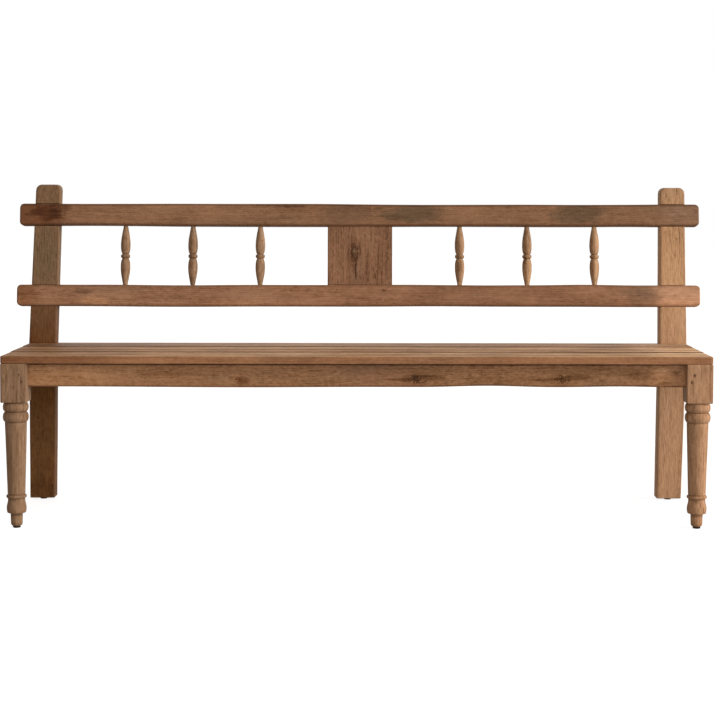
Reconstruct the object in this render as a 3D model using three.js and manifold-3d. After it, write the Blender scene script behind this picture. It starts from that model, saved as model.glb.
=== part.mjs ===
// A long bench in reclaimed hardwood: two turned front legs, two bent back posts, a boarded seat on a framed
// underside, and a raked back of two rails that hold six turned spindles and a middle panel.
// Millimetres. X runs along the bench, Y from the front to the back, and Z up from the floor.
// The origin is on the floor, under the middle of the bench's overall box.

import * as THREE from "three";
import { mergeVertices } from "three/addons/utils/BufferGeometryUtils.js";
import Module from "manifold-3d";

const wasm = await Module();
wasm.setup();

// Fits and cutting
const fitGap = 0.3; // between a piece and the mortise, notch or hole that holds it
const cutOverrun = 3; // how far a cut runs past the face that it opens
const weldDistance = 0.001; // corners closer than this are one corner
const roundSides = 24; // sides of a turned leg
const spindleSides = 16;
const pinSides = 8; // sides of a screw, nail, dowel or glide's shank
const glideSides = 16;
const cornerSegments = 5; // segments in a rounded corner

// Seat
const seatLength = 1834;
const seatHeight = 450;
const boardThickness = 20;
const boardGap = 3;
const boardNotchGap = 0.8; // round the posts
const frontBoardWidth = 50;
const secondBoardWidth = 83;
const middleBoardWidth = 65;
const fourthBoardWidth = 89;
const rearBoardWidth = 118;
const seatBoards = [
  { name: "seat_board_front", width: frontBoardWidth },
  { name: "seat_board_second", width: secondBoardWidth },
  { name: "seat_board_middle", width: middleBoardWidth },
  { name: "seat_board_fourth", width: fourthBoardWidth },
  { name: "seat_board_rear", width: rearBoardWidth },
];
const frameTop = seatHeight - boardThickness; // the underside of the boards

// Back posts: a knee at seat height, raked back above it and splayed back below it
const postSetback = 387; // the seat's front edge to the posts' front faces at the knee
const postDepth = 48.5; // front to back, level
const postWidth = 75.5; // at the knee
const postTopWidth = 68.5;
const postFootWidth = 70;
const postRise = 442; // of the left post's top above the seat
const rightPostDrop = 7; // the right post's top stands this much lower
const leftPostLean = THREE.MathUtils.degToRad(1.6); // inwards, about the knee; the right post stands upright
const postCornerRadius = 16;
const rake = THREE.MathUtils.degToRad(8);
const footSplay = 63; // how far the foot stands behind the knee

// Glides under the four feet
const glideHeight = 5;
const glideRadius = 10.3;
const glideTopRadius = 9.4;
const glideShankRadius = 1.5;
const glideShankLength = 18;
const glideTipLength = 3;

// Back: two rails lapped into the posts, measured up the raked posts from the knee
const backShift = 5.5; // of the panel's middle to the right of the seat's, as the left post leans inwards
const upperRailLeftReach = 31.5; // past the seat's left end
const lowerRailLeftReach = 36;
const railRightReach = 39.5; // of both rails, past the seat's right end
const railThickness = 30;
const railProud = 2; // in front of the posts' faces
const lowerRailRise = 104.5;
const lowerRailHeight = 60.5;
const railOpening = 165; // between the rails
const upperRailHeight = 63;
const railEndRadius = 12;
const lapDepth = 20; // of the notch in a post's front

// Middle panel
const panelWidth = 181;
const panelThickness = 20;
const panelTongueThickness = 12;
const panelTongueDepth = 18;
const panelShoulder = 8; // at each end of a tongue
const panelNailSpread = 65; // from the middle of the bench
const panelNailDrop = 14.5; // below the lower rail's top edge
const panelNailLength = 24;

// Spindles
const spindlePitch = 189;
const spindlesPerSide = 3;
const spindleFootRadius = 6.7;
const spindleHeadRadius = 5.7;
const bulbRadius = 13.6;
const spindleNeckRadius = 7.9;
const spindleBeadRadius = 13.3;
const spindleBeadHeight = 12;
const bulbShoulder = 24; // from a bulb's widest place to its neck
const beadDrop = 2; // of the bead below the middle of the opening
const spindleTenonRadius = 5;
const spindleTenonLength = 14;
const bulbSteps = 6;
const shoulderSteps = 4;
const bulbCurvePower = 1.2; // above 1 draws the bulb's long end in

// Front legs: a square block over a turned leg
const blockSide = 67.5;
const blockHeight = 101.5;
const neckRadius = 28.8;
const neckHeight = 1;
const ringRadius = 33.6;
const upperRingHeight = 24.2;
const ringGrooveRadius = 27;
const ringGrooveHeight = 0.8;
const lowerRingHeight = 26;
const shaftTopRadius = 28.4;
const shaftEndRadius = 23.1;
const collarRadius = 26.6;
const collarHeight = 9;
const vaseNeckRadius = 22.3;
const vaseNeckHeight = 4;
const vaseRadius = 25.7;
const vaseHeight = 34.5;
const vaseFootRadius = 23;
const vaseBellyShare = 0.62; // of the vase's height, down to its widest place
const pegRadius = 16;
const pegEndRadius = 15.2;
const pegHeight = 34.5;
const pegRoundHeight = 6;
const pegTipRadius = 11;
const ringSteps = 8;
const vaseSteps = 6;

// Aprons and their tenons
const apronThickness = 22;
const apronHeight = 62;
const apronSetback = 26; // behind the blocks' outer faces
const rearApronSetback = 16; // behind the posts' front faces at the knee
const tenonThickness = 10;
const tenonHeight = 42;
const tenonLength = 25; // of the front and rear aprons
const sideTenonLength = 22;
const upperNailInset = 19; // from the block's inner face
const upperNailDrop = 28.5; // below the block's top
const lowerNailInset = 11.5;
const lowerNailDrop = 46.5;
const legNailSpots = [
  { name: "upper", inset: upperNailInset, drop: upperNailDrop },
  { name: "lower", inset: lowerNailInset, drop: lowerNailDrop },
];
const legNailLength = 44;
const nailRadius = 1.7;
const nailSink = 0.8;
const nailTipLength = 4;

// Battens under the boards, and their fixings
const battenWidth = 45;
const battenHeight = 30;
const battenSpacing = 458;
const battenHousing = 6; // into each apron
const screwRadius = 2;
const screwHeadRadius = 4;
const screwHeadHeight = 3;
const screwTipLength = 6;
const boardScrewLength = 40;
const lapScrewLength = 40;
const rearScrewInset = 50; // from the rear board's front edge, clear of the rear apron
const dowelRadius = 4;
const dowelLength = 26;
const dowelShare = 0.5; // of a dowel's length that stands above the apron

// Places that the sizes above settle
const halfSeat = seatLength / 2;
const kneeHeight = seatHeight;
const postTop = seatHeight + postRise;
const footSlope = footSplay / (kneeHeight - glideHeight);
const topSetback = postSetback + (postTop - kneeHeight) * Math.tan(rake);
const overallDepth = Math.max(postSetback + footSplay, topSetback) + postDepth;
const frontY = -overallDepth / 2;
const kneeY = frontY + postSetback;
const apronBottom = frameTop - apronHeight;
const tenonBottom = apronBottom + (apronHeight - tenonHeight) / 2;
const tenonTop = tenonBottom + tenonHeight;
const blockBottom = frameTop - blockHeight;
const battenBottom = frameTop - battenHeight;
const apronFrontY = frontY + apronSetback;
const apronBackY = apronFrontY + apronThickness;
const rearApronFrontY = kneeY + rearApronSetback;
const rearApronBackY = rearApronFrontY + apronThickness;
const tenonInset = (apronThickness - tenonThickness) / 2;
const sideApronOuterX = halfSeat - apronSetback;
const lowerRailTop = lowerRailRise + lowerRailHeight;
const upperRailRise = lowerRailTop + railOpening;
const railMiddleY = railThickness / 2 - railProud;

// Woods and metals, coloured as the bench is
function wood(color) {
  return new THREE.MeshStandardMaterial({ color, roughness: 0.8, metalness: 0 });
}
const legWood = wood(0x9b7553);
const postWood = wood(0x8b6c4f);
const railWood = wood(0x8a6247);
const boardWood = wood(0xa28263);
const apronWood = wood(0x8c6345);
const panelWood = wood(0x80593f);
const spindleWood = wood(0x99765a);
const hiddenWood = wood(0x8f6c4e);
const steel = new THREE.MeshStandardMaterial({ color: 0x6b675f, roughness: 0.5, metalness: 0.8 });
const nailSteel = new THREE.MeshStandardMaterial({ color: 0x2f2a25, roughness: 0.7, metalness: 0.6 });
const glidePlastic = new THREE.MeshStandardMaterial({ color: 0x2a1d15, roughness: 0.6, metalness: 0 });

// Solids

function solidOf(geometry) {
  const bare = geometry.index ? geometry.toNonIndexed() : geometry.clone();
  bare.deleteAttribute("normal");
  bare.deleteAttribute("uv");
  const merged = mergeVertices(bare, weldDistance);
  const vertProperties = merged.attributes.position.array;
  const triVerts = new Uint32Array(merged.index.array);
  return new wasm.Manifold(new wasm.Mesh({ numProp: 3, vertProperties, triVerts }));
}

function geometryOf(solid) {
  const made = solid.getMesh();
  const geometry = new THREE.BufferGeometry();
  geometry.setAttribute("position", new THREE.BufferAttribute(made.vertProperties, 3));
  geometry.setIndex(new THREE.BufferAttribute(made.triVerts, 1));
  const faceted = geometry.toNonIndexed();
  faceted.computeVertexNormals();
  return faceted;
}

// A piece of wood: some geometry, with other geometry joined to it and cut out of it.
function worked(base, { joined = [], cut = [] }) {
  let solid = solidOf(base);
  for (const geometry of joined) solid = solid.add(solidOf(geometry));
  for (const geometry of cut) solid = solid.subtract(solidOf(geometry));
  return geometryOf(solid);
}

// A box from two ends on each axis, given in either order.
function box([x0, x1], [y0, y1], [z0, z1]) {
  const geometry = new THREE.BoxGeometry(Math.abs(x1 - x0), Math.abs(y1 - y0), Math.abs(z1 - z0));
  return geometry.translate((x0 + x1) / 2, (y0 + y1) / 2, (z0 + z1) / 2);
}

function grown([low, high], by) {
  return low < high ? [low - by, high + by] : [low + by, high - by];
}

const alongX = new THREE.Vector3(1, 0, 0);
const alongY = new THREE.Vector3(0, 1, 0);
const alongZ = new THREE.Vector3(0, 0, 1);

// An outline drawn in the front view, X and Z, that reaches from y0 to y1.
function frontOutline(shape, [y0, y1]) {
  const geometry = new THREE.ExtrudeGeometry(shape, {
    depth: y1 - y0,
    bevelEnabled: false,
    curveSegments: cornerSegments,
  });
  geometry.applyMatrix4(new THREE.Matrix4().makeBasis(alongX, alongZ, alongY.clone().negate()));
  return geometry.translate(0, y1, 0);
}

// An outline drawn in the side view, Y and Z, that reaches from x0 to x1.
function sideOutline(shape, [x0, x1]) {
  const geometry = new THREE.ExtrudeGeometry(shape, { depth: Math.abs(x1 - x0), bevelEnabled: false });
  geometry.applyMatrix4(new THREE.Matrix4().makeBasis(alongY, alongZ, alongX));
  return geometry.translate(Math.min(x0, x1), 0, 0);
}

// A turned piece that stands on Z, from a profile of radius and height, bottom first.
function turned(profile, sides) {
  const points = profile.map(([radius, height]) => new THREE.Vector2(radius, height));
  return new THREE.LatheGeometry(points, sides).rotateX(Math.PI / 2);
}

// A half-round swelling on a turned piece, bottom first, between two heights.
function bead(low, high, edgeRadius, middleRadius, steps) {
  const points = [];
  for (let i = 0; i <= steps; i++) {
    const turn = (Math.PI * i) / steps;
    const radius = edgeRadius + (middleRadius - edgeRadius) * Math.sin(turn);
    points.push([radius, (low + high) / 2 - ((high - low) / 2) * Math.cos(turn)]);
  }
  return points;
}

// A pin from its head's face at z 0 to its tip at its length. With grow it is the hole that the pin fits.
function screw(length, grow = 0) {
  const start = grow > 0 ? -cutOverrun : 0;
  return turned(
    [
      [0, start],
      [screwHeadRadius + grow, start],
      [screwHeadRadius + grow, grow],
      [screwRadius + grow, screwHeadHeight + grow],
      [screwRadius + grow, length - screwTipLength + grow],
      [0, length + grow],
    ],
    pinSides,
  );
}

function nail(length, grow = 0) {
  const start = grow > 0 ? -cutOverrun : nailSink;
  return turned(
    [
      [0, start],
      [nailRadius + grow, start],
      [nailRadius + grow, length - nailTipLength + grow],
      [0, length + grow],
    ],
    pinSides,
  );
}

function dowel(grow = 0) {
  const low = -dowelLength * (1 - dowelShare) - grow;
  const high = dowelLength * dowelShare + grow;
  return turned(
    [
      [0, low],
      [dowelRadius + grow, low],
      [dowelRadius + grow, high],
      [0, high],
    ],
    pinSides,
  );
}

// Points the pin's tip to the back or to the front.
function towardsBack(geometry) {
  return geometry.rotateX(-Math.PI / 2);
}
function towardsFront(geometry) {
  return geometry.rotateX(Math.PI / 2);
}

const bench = new THREE.Group();
bench.name = "bench";
bench.position.x = (lowerRailLeftReach - railRightReach) / 2; // the lower rail reaches furthest at both ends

// The raked back has its own frame: its origin is at the knee, on the posts' front faces,
// and its Z runs up them. Its X starts from the panel's middle.
const raked = new THREE.Group();
raked.name = "raked_back";
raked.position.set(backShift, kneeY, kneeHeight);
raked.rotation.x = -rake;
raked.updateMatrix();
bench.add(raked);

function place(group, name, geometry, material, [x, y, z] = [0, 0, 0]) {
  const mesh = new THREE.Mesh(geometry, material);
  mesh.name = name;
  mesh.position.set(x, y, z);
  group.add(mesh);
}

const sides = [
  { name: "left", sign: -1, top: postTop, lean: leftPostLean },
  { name: "right", sign: 1, top: postTop - rightPostDrop, lean: 0 },
];

// Glides

function glide(grow = 0) {
  return turned(
    [
      [0, 0],
      [glideTopRadius + grow, 0],
      [glideRadius + grow, glideHeight / 2],
      [glideTopRadius + grow, glideHeight],
      [glideShankRadius + grow, glideHeight],
      [glideShankRadius + grow, glideHeight + glideShankLength - glideTipLength],
      [0, glideHeight + glideShankLength],
    ],
    glideSides,
  );
}

function glideHole([x, y]) {
  const radius = glideShankRadius + fitGap;
  const points = [
    [0, glideHeight - cutOverrun],
    [radius, glideHeight - cutOverrun],
    [radius, glideHeight + glideShankLength + fitGap],
    [0, glideHeight + glideShankLength + fitGap],
  ];
  return turned(points, pinSides).translate(x, y, 0);
}

const frontFootY = frontY + blockSide / 2;
const rearFootY = kneeY + footSplay + postDepth / 2;

// The two faces of a side apron's tenons, outer one first.
function sideTenonX(sign) {
  return [sign * (sideApronOuterX - tenonInset), sign * (sideApronOuterX - apronThickness + tenonInset)];
}

// Front legs

function legProfile() {
  const pegTop = glideHeight + pegHeight;
  const vaseTop = pegTop + vaseHeight;
  const collarLow = vaseTop + vaseNeckHeight;
  const collarTop = collarLow + collarHeight;
  const upperRingTop = blockBottom - neckHeight;
  const upperRingLow = upperRingTop - upperRingHeight;
  const lowerRingTop = upperRingLow - ringGrooveHeight;
  const lowerRingLow = lowerRingTop - lowerRingHeight;
  const belly = vaseTop - vaseHeight * vaseBellyShare;
  const vase = [];
  for (let i = 0; i <= vaseSteps; i++) {
    const share = i / vaseSteps;
    const radius = vaseFootRadius + (vaseRadius - vaseFootRadius) * Math.sin((Math.PI / 2) * share);
    vase.push([radius, pegTop + (belly - pegTop) * (1 - Math.cos((Math.PI / 2) * share))]);
  }
  for (let i = 1; i <= vaseSteps; i++) {
    const share = i / vaseSteps;
    const swell = (1 + Math.cos(Math.PI * share)) / 2;
    vase.push([vaseNeckRadius + (vaseRadius - vaseNeckRadius) * swell, belly + (vaseTop - belly) * share]);
  }
  return [
    [0, glideHeight],
    [pegTipRadius, glideHeight],
    [pegEndRadius, glideHeight + pegRoundHeight],
    [pegRadius, pegTop],
    ...vase,
    ...bead(collarLow, collarTop, vaseNeckRadius, collarRadius, ringSteps),
    [shaftEndRadius, collarTop + collarHeight / 2],
    [shaftTopRadius, lowerRingLow - ringGrooveHeight],
    ...bead(lowerRingLow, lowerRingTop, ringGrooveRadius, ringRadius, ringSteps),
    ...bead(upperRingLow, upperRingTop, ringGrooveRadius, ringRadius, ringSteps),
    [neckRadius, blockBottom],
    [neckRadius, blockBottom + cutOverrun],
    [0, blockBottom + cutOverrun],
  ];
}

// Where each leg's nails start, on the block's front face.
function legNails(sign) {
  return legNailSpots.map(({ name, inset, drop }) => {
    const x = sign * (halfSeat - blockSide + inset);
    return { name, spot: [x, frontY, frameTop - drop] };
  });
}

function legNailHoles(sign) {
  const hole = towardsBack(nail(legNailLength, fitGap));
  return legNails(sign).map(({ spot }) => hole.clone().translate(...spot));
}

function frontLeg(sign) {
  const outer = sign * halfSeat;
  const inner = sign * (halfSeat - blockSide);
  const middleX = sign * (halfSeat - blockSide / 2);
  const block = box([inner, outer], [frontY, frontY + blockSide], [blockBottom, frameTop]);
  const tenonY = [apronFrontY + tenonInset, apronBackY - tenonInset];
  const frontMortise = box(
    [inner - sign * cutOverrun, inner + sign * (tenonLength + fitGap)],
    grown(tenonY, fitGap),
    grown([tenonBottom, tenonTop], fitGap),
  );
  const blockBack = frontY + blockSide;
  const sideMortise = box(
    grown(sideTenonX(sign), fitGap),
    [blockBack - sideTenonLength - fitGap, blockBack + cutOverrun],
    grown([tenonBottom, tenonTop], fitGap),
  );
  return worked(block, {
    joined: [turned(legProfile(), roundSides).translate(middleX, frontFootY, 0)],
    cut: [frontMortise, sideMortise, glideHole([middleX, frontFootY]), ...legNailHoles(sign)],
  });
}

for (const { name, sign } of sides) {
  const footX = sign * (halfSeat - blockSide / 2);
  place(bench, `front_leg_${name}`, frontLeg(sign), legWood);
  place(bench, `front_glide_${name}`, glide(), glidePlastic, [footX, frontFootY, 0]);
  for (const { name: level, spot } of legNails(sign)) {
    place(bench, `leg_nail_${level}_${name}`, towardsBack(nail(legNailLength)), nailSteel, spot);
  }
}

// Back posts

// The post's front face at a height: below the knee it splays back, and above the knee it rakes back.
function postFrontY(z) {
  return z < kneeHeight ? kneeY + (kneeHeight - z) * footSlope : kneeY + (z - kneeHeight) * Math.tan(rake);
}

// The post's width at a height, taken off its inner edge.
function postWidthAt(z) {
  const endHeight = z < kneeHeight ? glideHeight : postTop;
  const endWidth = z < kneeHeight ? postFootWidth : postTopWidth;
  return postWidth + ((endWidth - postWidth) * (z - kneeHeight)) / (endHeight - kneeHeight);
}

// The post's inner and outer edge at a height, in the front view.
function postEdges({ sign, lean }, z) {
  const shift = (z - kneeHeight) * Math.tan(lean);
  return [sign * (halfSeat - postWidthAt(z) - shift), sign * (halfSeat - shift)];
}

function postSideShape(top) {
  const heights = [glideHeight, kneeHeight, top];
  const front = heights.map((z) => new THREE.Vector2(postFrontY(z), z));
  const back = heights.map((z) => new THREE.Vector2(postFrontY(z) + postDepth, z)).reverse();
  return new THREE.Shape([...front, ...back]);
}

function postFrontShape(side) {
  const { sign, top } = side;
  const [topInner, topOuter] = postEdges(side, top);
  const shape = new THREE.Shape();
  shape.moveTo(postEdges(side, glideHeight)[1], glideHeight);
  shape.lineTo(topOuter, top - postCornerRadius);
  shape.quadraticCurveTo(topOuter, top, topOuter - sign * postCornerRadius, top);
  shape.lineTo(topInner + sign * postCornerRadius, top);
  shape.quadraticCurveTo(topInner, top, topInner, top - postCornerRadius);
  shape.lineTo(postEdges(side, kneeHeight)[0], kneeHeight);
  shape.lineTo(postEdges(side, glideHeight)[0], glideHeight);
  shape.closePath();
  return shape;
}

// Each rail's height in the raked frame, and how far it reaches past the seat's left end.
const rails = [
  { name: "lower_rail", low: lowerRailRise, high: lowerRailTop, leftReach: lowerRailLeftReach },
  {
    name: "upper_rail",
    low: upperRailRise,
    high: upperRailRise + upperRailHeight,
    leftReach: upperRailLeftReach,
  },
];

// The post's rear face, in the raked frame.
const postRear = postDepth * Math.cos(rake);

// The post's edges at a height in the raked frame.
function rakedEdges(side, z) {
  return postEdges(side, kneeHeight + z * Math.cos(rake)).map((x) => x - backShift);
}

// The middle of a post's lap with a rail, in the raked frame, on the post's rear face.
function lapSpot(rail, side) {
  const z = (rail.low + rail.high) / 2;
  const [inner, outer] = rakedEdges(side, z);
  return [(inner + outer) / 2, postRear, z];
}

// The middle of a post's foot, where its glide is.
function rearFootX(side) {
  const [inner, outer] = postEdges(side, glideHeight);
  return (inner + outer) / 2;
}

function backPost(side) {
  const { sign, top } = side;
  const room = [0, sign * (halfSeat + postWidth)]; // the post's half of the bench
  const body = solidOf(sideOutline(postSideShape(top), room));
  const face = solidOf(frontOutline(postFrontShape(side), grown([frontY, -frontY], cutOverrun)));
  const laps = rails.map(({ low, high }) =>
    box(room, [-cutOverrun, lapDepth], grown([low, high], fitGap)).applyMatrix4(raked.matrix),
  );
  const lapHoles = rails.map((rail) =>
    towardsFront(screw(lapScrewLength, fitGap))
      .translate(...lapSpot(rail, side))
      .applyMatrix4(raked.matrix),
  );
  const inner = sign * (halfSeat - postWidthAt(tenonTop));
  const rearTenonY = [rearApronFrontY + tenonInset, rearApronBackY - tenonInset];
  const rearMortise = box(
    [inner - sign * cutOverrun, inner + sign * (tenonLength + fitGap)],
    grown(rearTenonY, fitGap),
    grown([tenonBottom, tenonTop], fitGap),
  );
  const sideMortise = box(
    grown(sideTenonX(sign), fitGap),
    [postFrontY(tenonTop) - cutOverrun, postFrontY(tenonTop) + sideTenonLength + fitGap],
    grown([tenonBottom, tenonTop], fitGap),
  );
  return worked(geometryOf(body.intersect(face)), {
    cut: [...laps, ...lapHoles, rearMortise, sideMortise, glideHole([rearFootX(side), rearFootY])],
  });
}

for (const side of sides) {
  place(bench, `back_post_${side.name}`, backPost(side), postWood);
  place(bench, `rear_glide_${side.name}`, glide(), glidePlastic, [rearFootX(side), rearFootY, 0]);
  for (const rail of rails) {
    const spot = lapSpot(rail, side);
    place(raked, `${rail.name}_screw_${side.name}`, towardsFront(screw(lapScrewLength)), steel, spot);
  }
}

// Back rails, spindles and panel, all in the raked frame

function spindleSpots() {
  const spots = [];
  for (const { name, sign } of sides) {
    for (let i = 1; i <= spindlesPerSide; i++) {
      spots.push({ name: `spindle_${name}_${i}`, x: sign * (panelWidth / 2 + spindlePitch * i) });
    }
  }
  return spots;
}

// A bar between two ends with rounded corners, in the front view.
function railShape({ low, high, leftReach }) {
  const shape = new THREE.Shape();
  const left = -halfSeat - leftReach - backShift;
  const right = halfSeat + railRightReach - backShift;
  const turn = railEndRadius;
  shape.moveTo(left + turn, low);
  shape.lineTo(right - turn, low);
  shape.absarc(right - turn, low + turn, turn, -Math.PI / 2, 0);
  shape.absarc(right - turn, high - turn, turn, 0, Math.PI / 2);
  shape.absarc(left + turn, high - turn, turn, Math.PI / 2, Math.PI);
  shape.absarc(left + turn, low + turn, turn, Math.PI, (3 * Math.PI) / 2);
  return shape;
}

function panelNail(sign, grow = 0) {
  const spot = [sign * panelNailSpread, -railProud, lowerRailTop - panelNailDrop];
  return towardsBack(nail(panelNailLength, grow)).translate(...spot);
}

// The notch in a rail's back that a post fits, between two heights.
function lapNotch(side, [low, high]) {
  const [lowStart, lowEnd] = grown(rakedEdges(side, low), fitGap);
  const [highStart, highEnd] = grown(rakedEdges(side, high), fitGap);
  const outline = new THREE.Shape([
    new THREE.Vector2(lowStart, low),
    new THREE.Vector2(lowEnd, low),
    new THREE.Vector2(highEnd, high),
    new THREE.Vector2(highStart, high),
  ]);
  return frontOutline(outline, [lapDepth - fitGap, railThickness]);
}

function backRail(rail) {
  const { low, high } = rail;
  const isLower = rail === rails[0];
  const bar = frontOutline(railShape(rail), [-railProud, railThickness - railProud]);
  const laps = sides.map((side) => lapNotch(side, grown([low, high], cutOverrun)));
  const lapHoles = sides.map((side) =>
    towardsFront(screw(lapScrewLength, fitGap)).translate(...lapSpot(rail, side)),
  );
  // The edge that faces the other rail, and the way into this rail from it.
  const edge = isLower ? high : low;
  const into = isLower ? -1 : 1;
  const holeDepth = into * (spindleTenonLength + fitGap);
  const holeEnds = [edge - into * cutOverrun, edge + holeDepth].sort((a, b) => a - b);
  const holes = spindleSpots().map(({ x }) =>
    turned(
      [
        [0, holeEnds[0]],
        [spindleTenonRadius + fitGap, holeEnds[0]],
        [spindleTenonRadius + fitGap, holeEnds[1]],
        [0, holeEnds[1]],
      ],
      spindleSides,
    ).translate(x, railMiddleY, 0),
  );
  const tongueHalf = panelWidth / 2 - panelShoulder + fitGap;
  const mortise = box(
    [-tongueHalf, tongueHalf],
    grown([railMiddleY - panelTongueThickness / 2, railMiddleY + panelTongueThickness / 2], fitGap),
    [edge - into * cutOverrun, edge + into * (panelTongueDepth + fitGap)],
  );
  const nailHoles = isLower ? sides.map(({ sign }) => panelNail(sign, fitGap)) : [];
  return worked(bar, { cut: [...laps, ...lapHoles, ...holes, mortise, ...nailHoles] });
}

for (const rail of rails) place(raked, rail.name, backRail(rail), railWood);

// A spindle between the rails: a tenon, a bulb, a bead, a bulb and a tenon, bottom first.
function spindleProfile() {
  const low = lowerRailTop + fitGap;
  const high = upperRailRise - fitGap;
  const beadMiddle = (low + high) / 2 - beadDrop;
  const beadLow = beadMiddle - spindleBeadHeight / 2;
  const beadHigh = beadMiddle + spindleBeadHeight / 2;
  // One bulb, from its end at a rail to its neck at the bead, going up or down.
  const bulb = (end, neck, endRadius) => {
    const points = [];
    const way = Math.sign(neck - end);
    const widest = neck - way * bulbShoulder;
    for (let i = 0; i <= bulbSteps; i++) {
      const share = i / bulbSteps;
      const swell = Math.sin((Math.PI / 2) * share) ** bulbCurvePower;
      points.push([endRadius + (bulbRadius - endRadius) * swell, end + (widest - end) * share]);
    }
    for (let i = 1; i <= shoulderSteps; i++) {
      const turn = ((Math.PI / 2) * i) / shoulderSteps;
      const radius = spindleNeckRadius + (bulbRadius - spindleNeckRadius) * Math.cos(turn);
      points.push([radius, widest + way * bulbShoulder * Math.sin(turn)]);
    }
    return points;
  };
  return [
    [0, low - spindleTenonLength],
    [spindleTenonRadius, low - spindleTenonLength],
    [spindleTenonRadius, low],
    ...bulb(low, beadLow, spindleFootRadius),
    ...bead(beadLow, beadHigh, spindleNeckRadius, spindleBeadRadius, ringSteps).slice(1, -1),
    ...bulb(high, beadHigh, spindleHeadRadius).reverse(),
    [spindleTenonRadius, high],
    [spindleTenonRadius, high + spindleTenonLength],
    [0, high + spindleTenonLength],
  ];
}

for (const { name, x } of spindleSpots()) {
  place(raked, name, turned(spindleProfile(), spindleSides), spindleWood, [x, railMiddleY, 0]);
}

function middlePanel() {
  const tongueHalf = panelWidth / 2 - panelShoulder;
  const low = lowerRailTop + fitGap;
  const high = upperRailRise - fitGap;
  const face = box(
    [-panelWidth / 2, panelWidth / 2],
    [railMiddleY - panelThickness / 2, railMiddleY + panelThickness / 2],
    [low, high],
  );
  const tongue = box(
    [-tongueHalf, tongueHalf],
    [railMiddleY - panelTongueThickness / 2, railMiddleY + panelTongueThickness / 2],
    [low - panelTongueDepth + fitGap, high + panelTongueDepth - fitGap],
  );
  return worked(face, { joined: [tongue], cut: sides.map(({ sign }) => panelNail(sign, fitGap)) });
}

place(raked, "middle_panel", middlePanel(), panelWood);
for (const { name, sign } of sides) place(raked, `panel_nail_${name}`, panelNail(sign), nailSteel);

// Aprons

const battenXs = [-battenSpacing, 0, battenSpacing];
const battenNames = ["left", "middle", "right"];

// The notches that the battens' ends sit in, on an apron's inner face.
function battenHousings(innerY, into) {
  return battenXs.map((x) =>
    box(
      grown([x - battenWidth / 2, x + battenWidth / 2], fitGap),
      [innerY - into * cutOverrun, innerY + into * battenHousing],
      [battenBottom - fitGap, frameTop + cutOverrun],
    ),
  );
}

function longApron([y0, y1], halfLength, tenonEnd, cut) {
  const board = box([-halfLength, halfLength], [y0, y1], [apronBottom, frameTop]);
  const tenon = box([-tenonEnd, tenonEnd], [y0 + tenonInset, y1 - tenonInset], [tenonBottom, tenonTop]);
  return worked(board, { joined: [tenon], cut });
}

const dowelSpots = battenXs.map((x) => {
  return [x + Math.sign(x || 1) * battenWidth, (apronFrontY + apronBackY) / 2, frameTop];
});

const blockInner = halfSeat - blockSide;
const frontApronCuts = [
  ...battenHousings(apronBackY, -1),
  ...sides.flatMap(({ sign }) => legNailHoles(sign)),
  ...dowelSpots.map((spot) => dowel(fitGap).translate(...spot)),
];
const frontApron = longApron(
  [apronFrontY, apronBackY],
  blockInner - fitGap,
  blockInner + tenonLength,
  frontApronCuts,
);
place(bench, "front_apron", frontApron, apronWood);

const rearApron = longApron(
  [rearApronFrontY, rearApronBackY],
  halfSeat - postWidth - fitGap,
  halfSeat - postWidthAt(tenonTop) + tenonLength,
  battenHousings(rearApronFrontY, 1),
);
place(bench, "rear_apron", rearApron, hiddenWood);

function sideApron(sign) {
  const outer = sign * sideApronOuterX;
  const inner = sign * (sideApronOuterX - apronThickness);
  const blockBack = frontY + blockSide;
  const shape = new THREE.Shape([
    new THREE.Vector2(blockBack + fitGap, apronBottom),
    new THREE.Vector2(postFrontY(apronBottom) - fitGap, apronBottom),
    new THREE.Vector2(postFrontY(frameTop) - fitGap, frameTop),
    new THREE.Vector2(blockBack + fitGap, frameTop),
  ]);
  const tenon = box(
    sideTenonX(sign),
    [blockBack - sideTenonLength, postFrontY(tenonTop) + sideTenonLength],
    [tenonBottom, tenonTop],
  );
  return worked(sideOutline(shape, [inner, outer]), { joined: [tenon] });
}

for (const { name, sign } of sides) place(bench, `side_apron_${name}`, sideApron(sign), hiddenWood);

// Seat boards, battens and their fixings

// Each board's front and back edge.
const boardEdges = [];
for (const { width } of seatBoards) {
  const start = boardEdges.length ? boardEdges.at(-1)[1] + boardGap : frontY;
  boardEdges.push([start, start + width]);
}

// The screws up through a batten: one into each board but the front one, which the dowels hold.
const boardScrewYs = boardEdges.slice(1).map(([low, high], i, all) => {
  return i === all.length - 1 ? low + rearScrewInset : (low + high) / 2;
});

function boardScrewSpots(boardIndex) {
  return battenXs.map((x) => [x, boardScrewYs[boardIndex - 1], battenBottom]);
}

seatBoards.forEach(({ name }, index) => {
  const [low, high] = boardEdges[index];
  const board = box([-halfSeat, halfSeat], [low, high], [frameTop, seatHeight]);
  const notches = sides.map(({ sign }) =>
    box(
      [sign * (halfSeat - postWidth - boardNotchGap), sign * (halfSeat + cutOverrun)],
      [kneeY - boardNotchGap, high + cutOverrun],
      grown([frameTop, seatHeight], cutOverrun),
    ),
  );
  const reachesPosts = high > kneeY - boardNotchGap;
  const screwHoles =
    index === 0 ? [] : boardScrewSpots(index).map((spot) => screw(boardScrewLength, fitGap).translate(...spot));
  const dowelHoles = index === 0 ? dowelSpots.map((spot) => dowel(fitGap).translate(...spot)) : [];
  const cut = [...(reachesPosts ? notches : []), ...screwHoles, ...dowelHoles];
  place(bench, name, worked(board, { cut }), boardWood);
});

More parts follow.
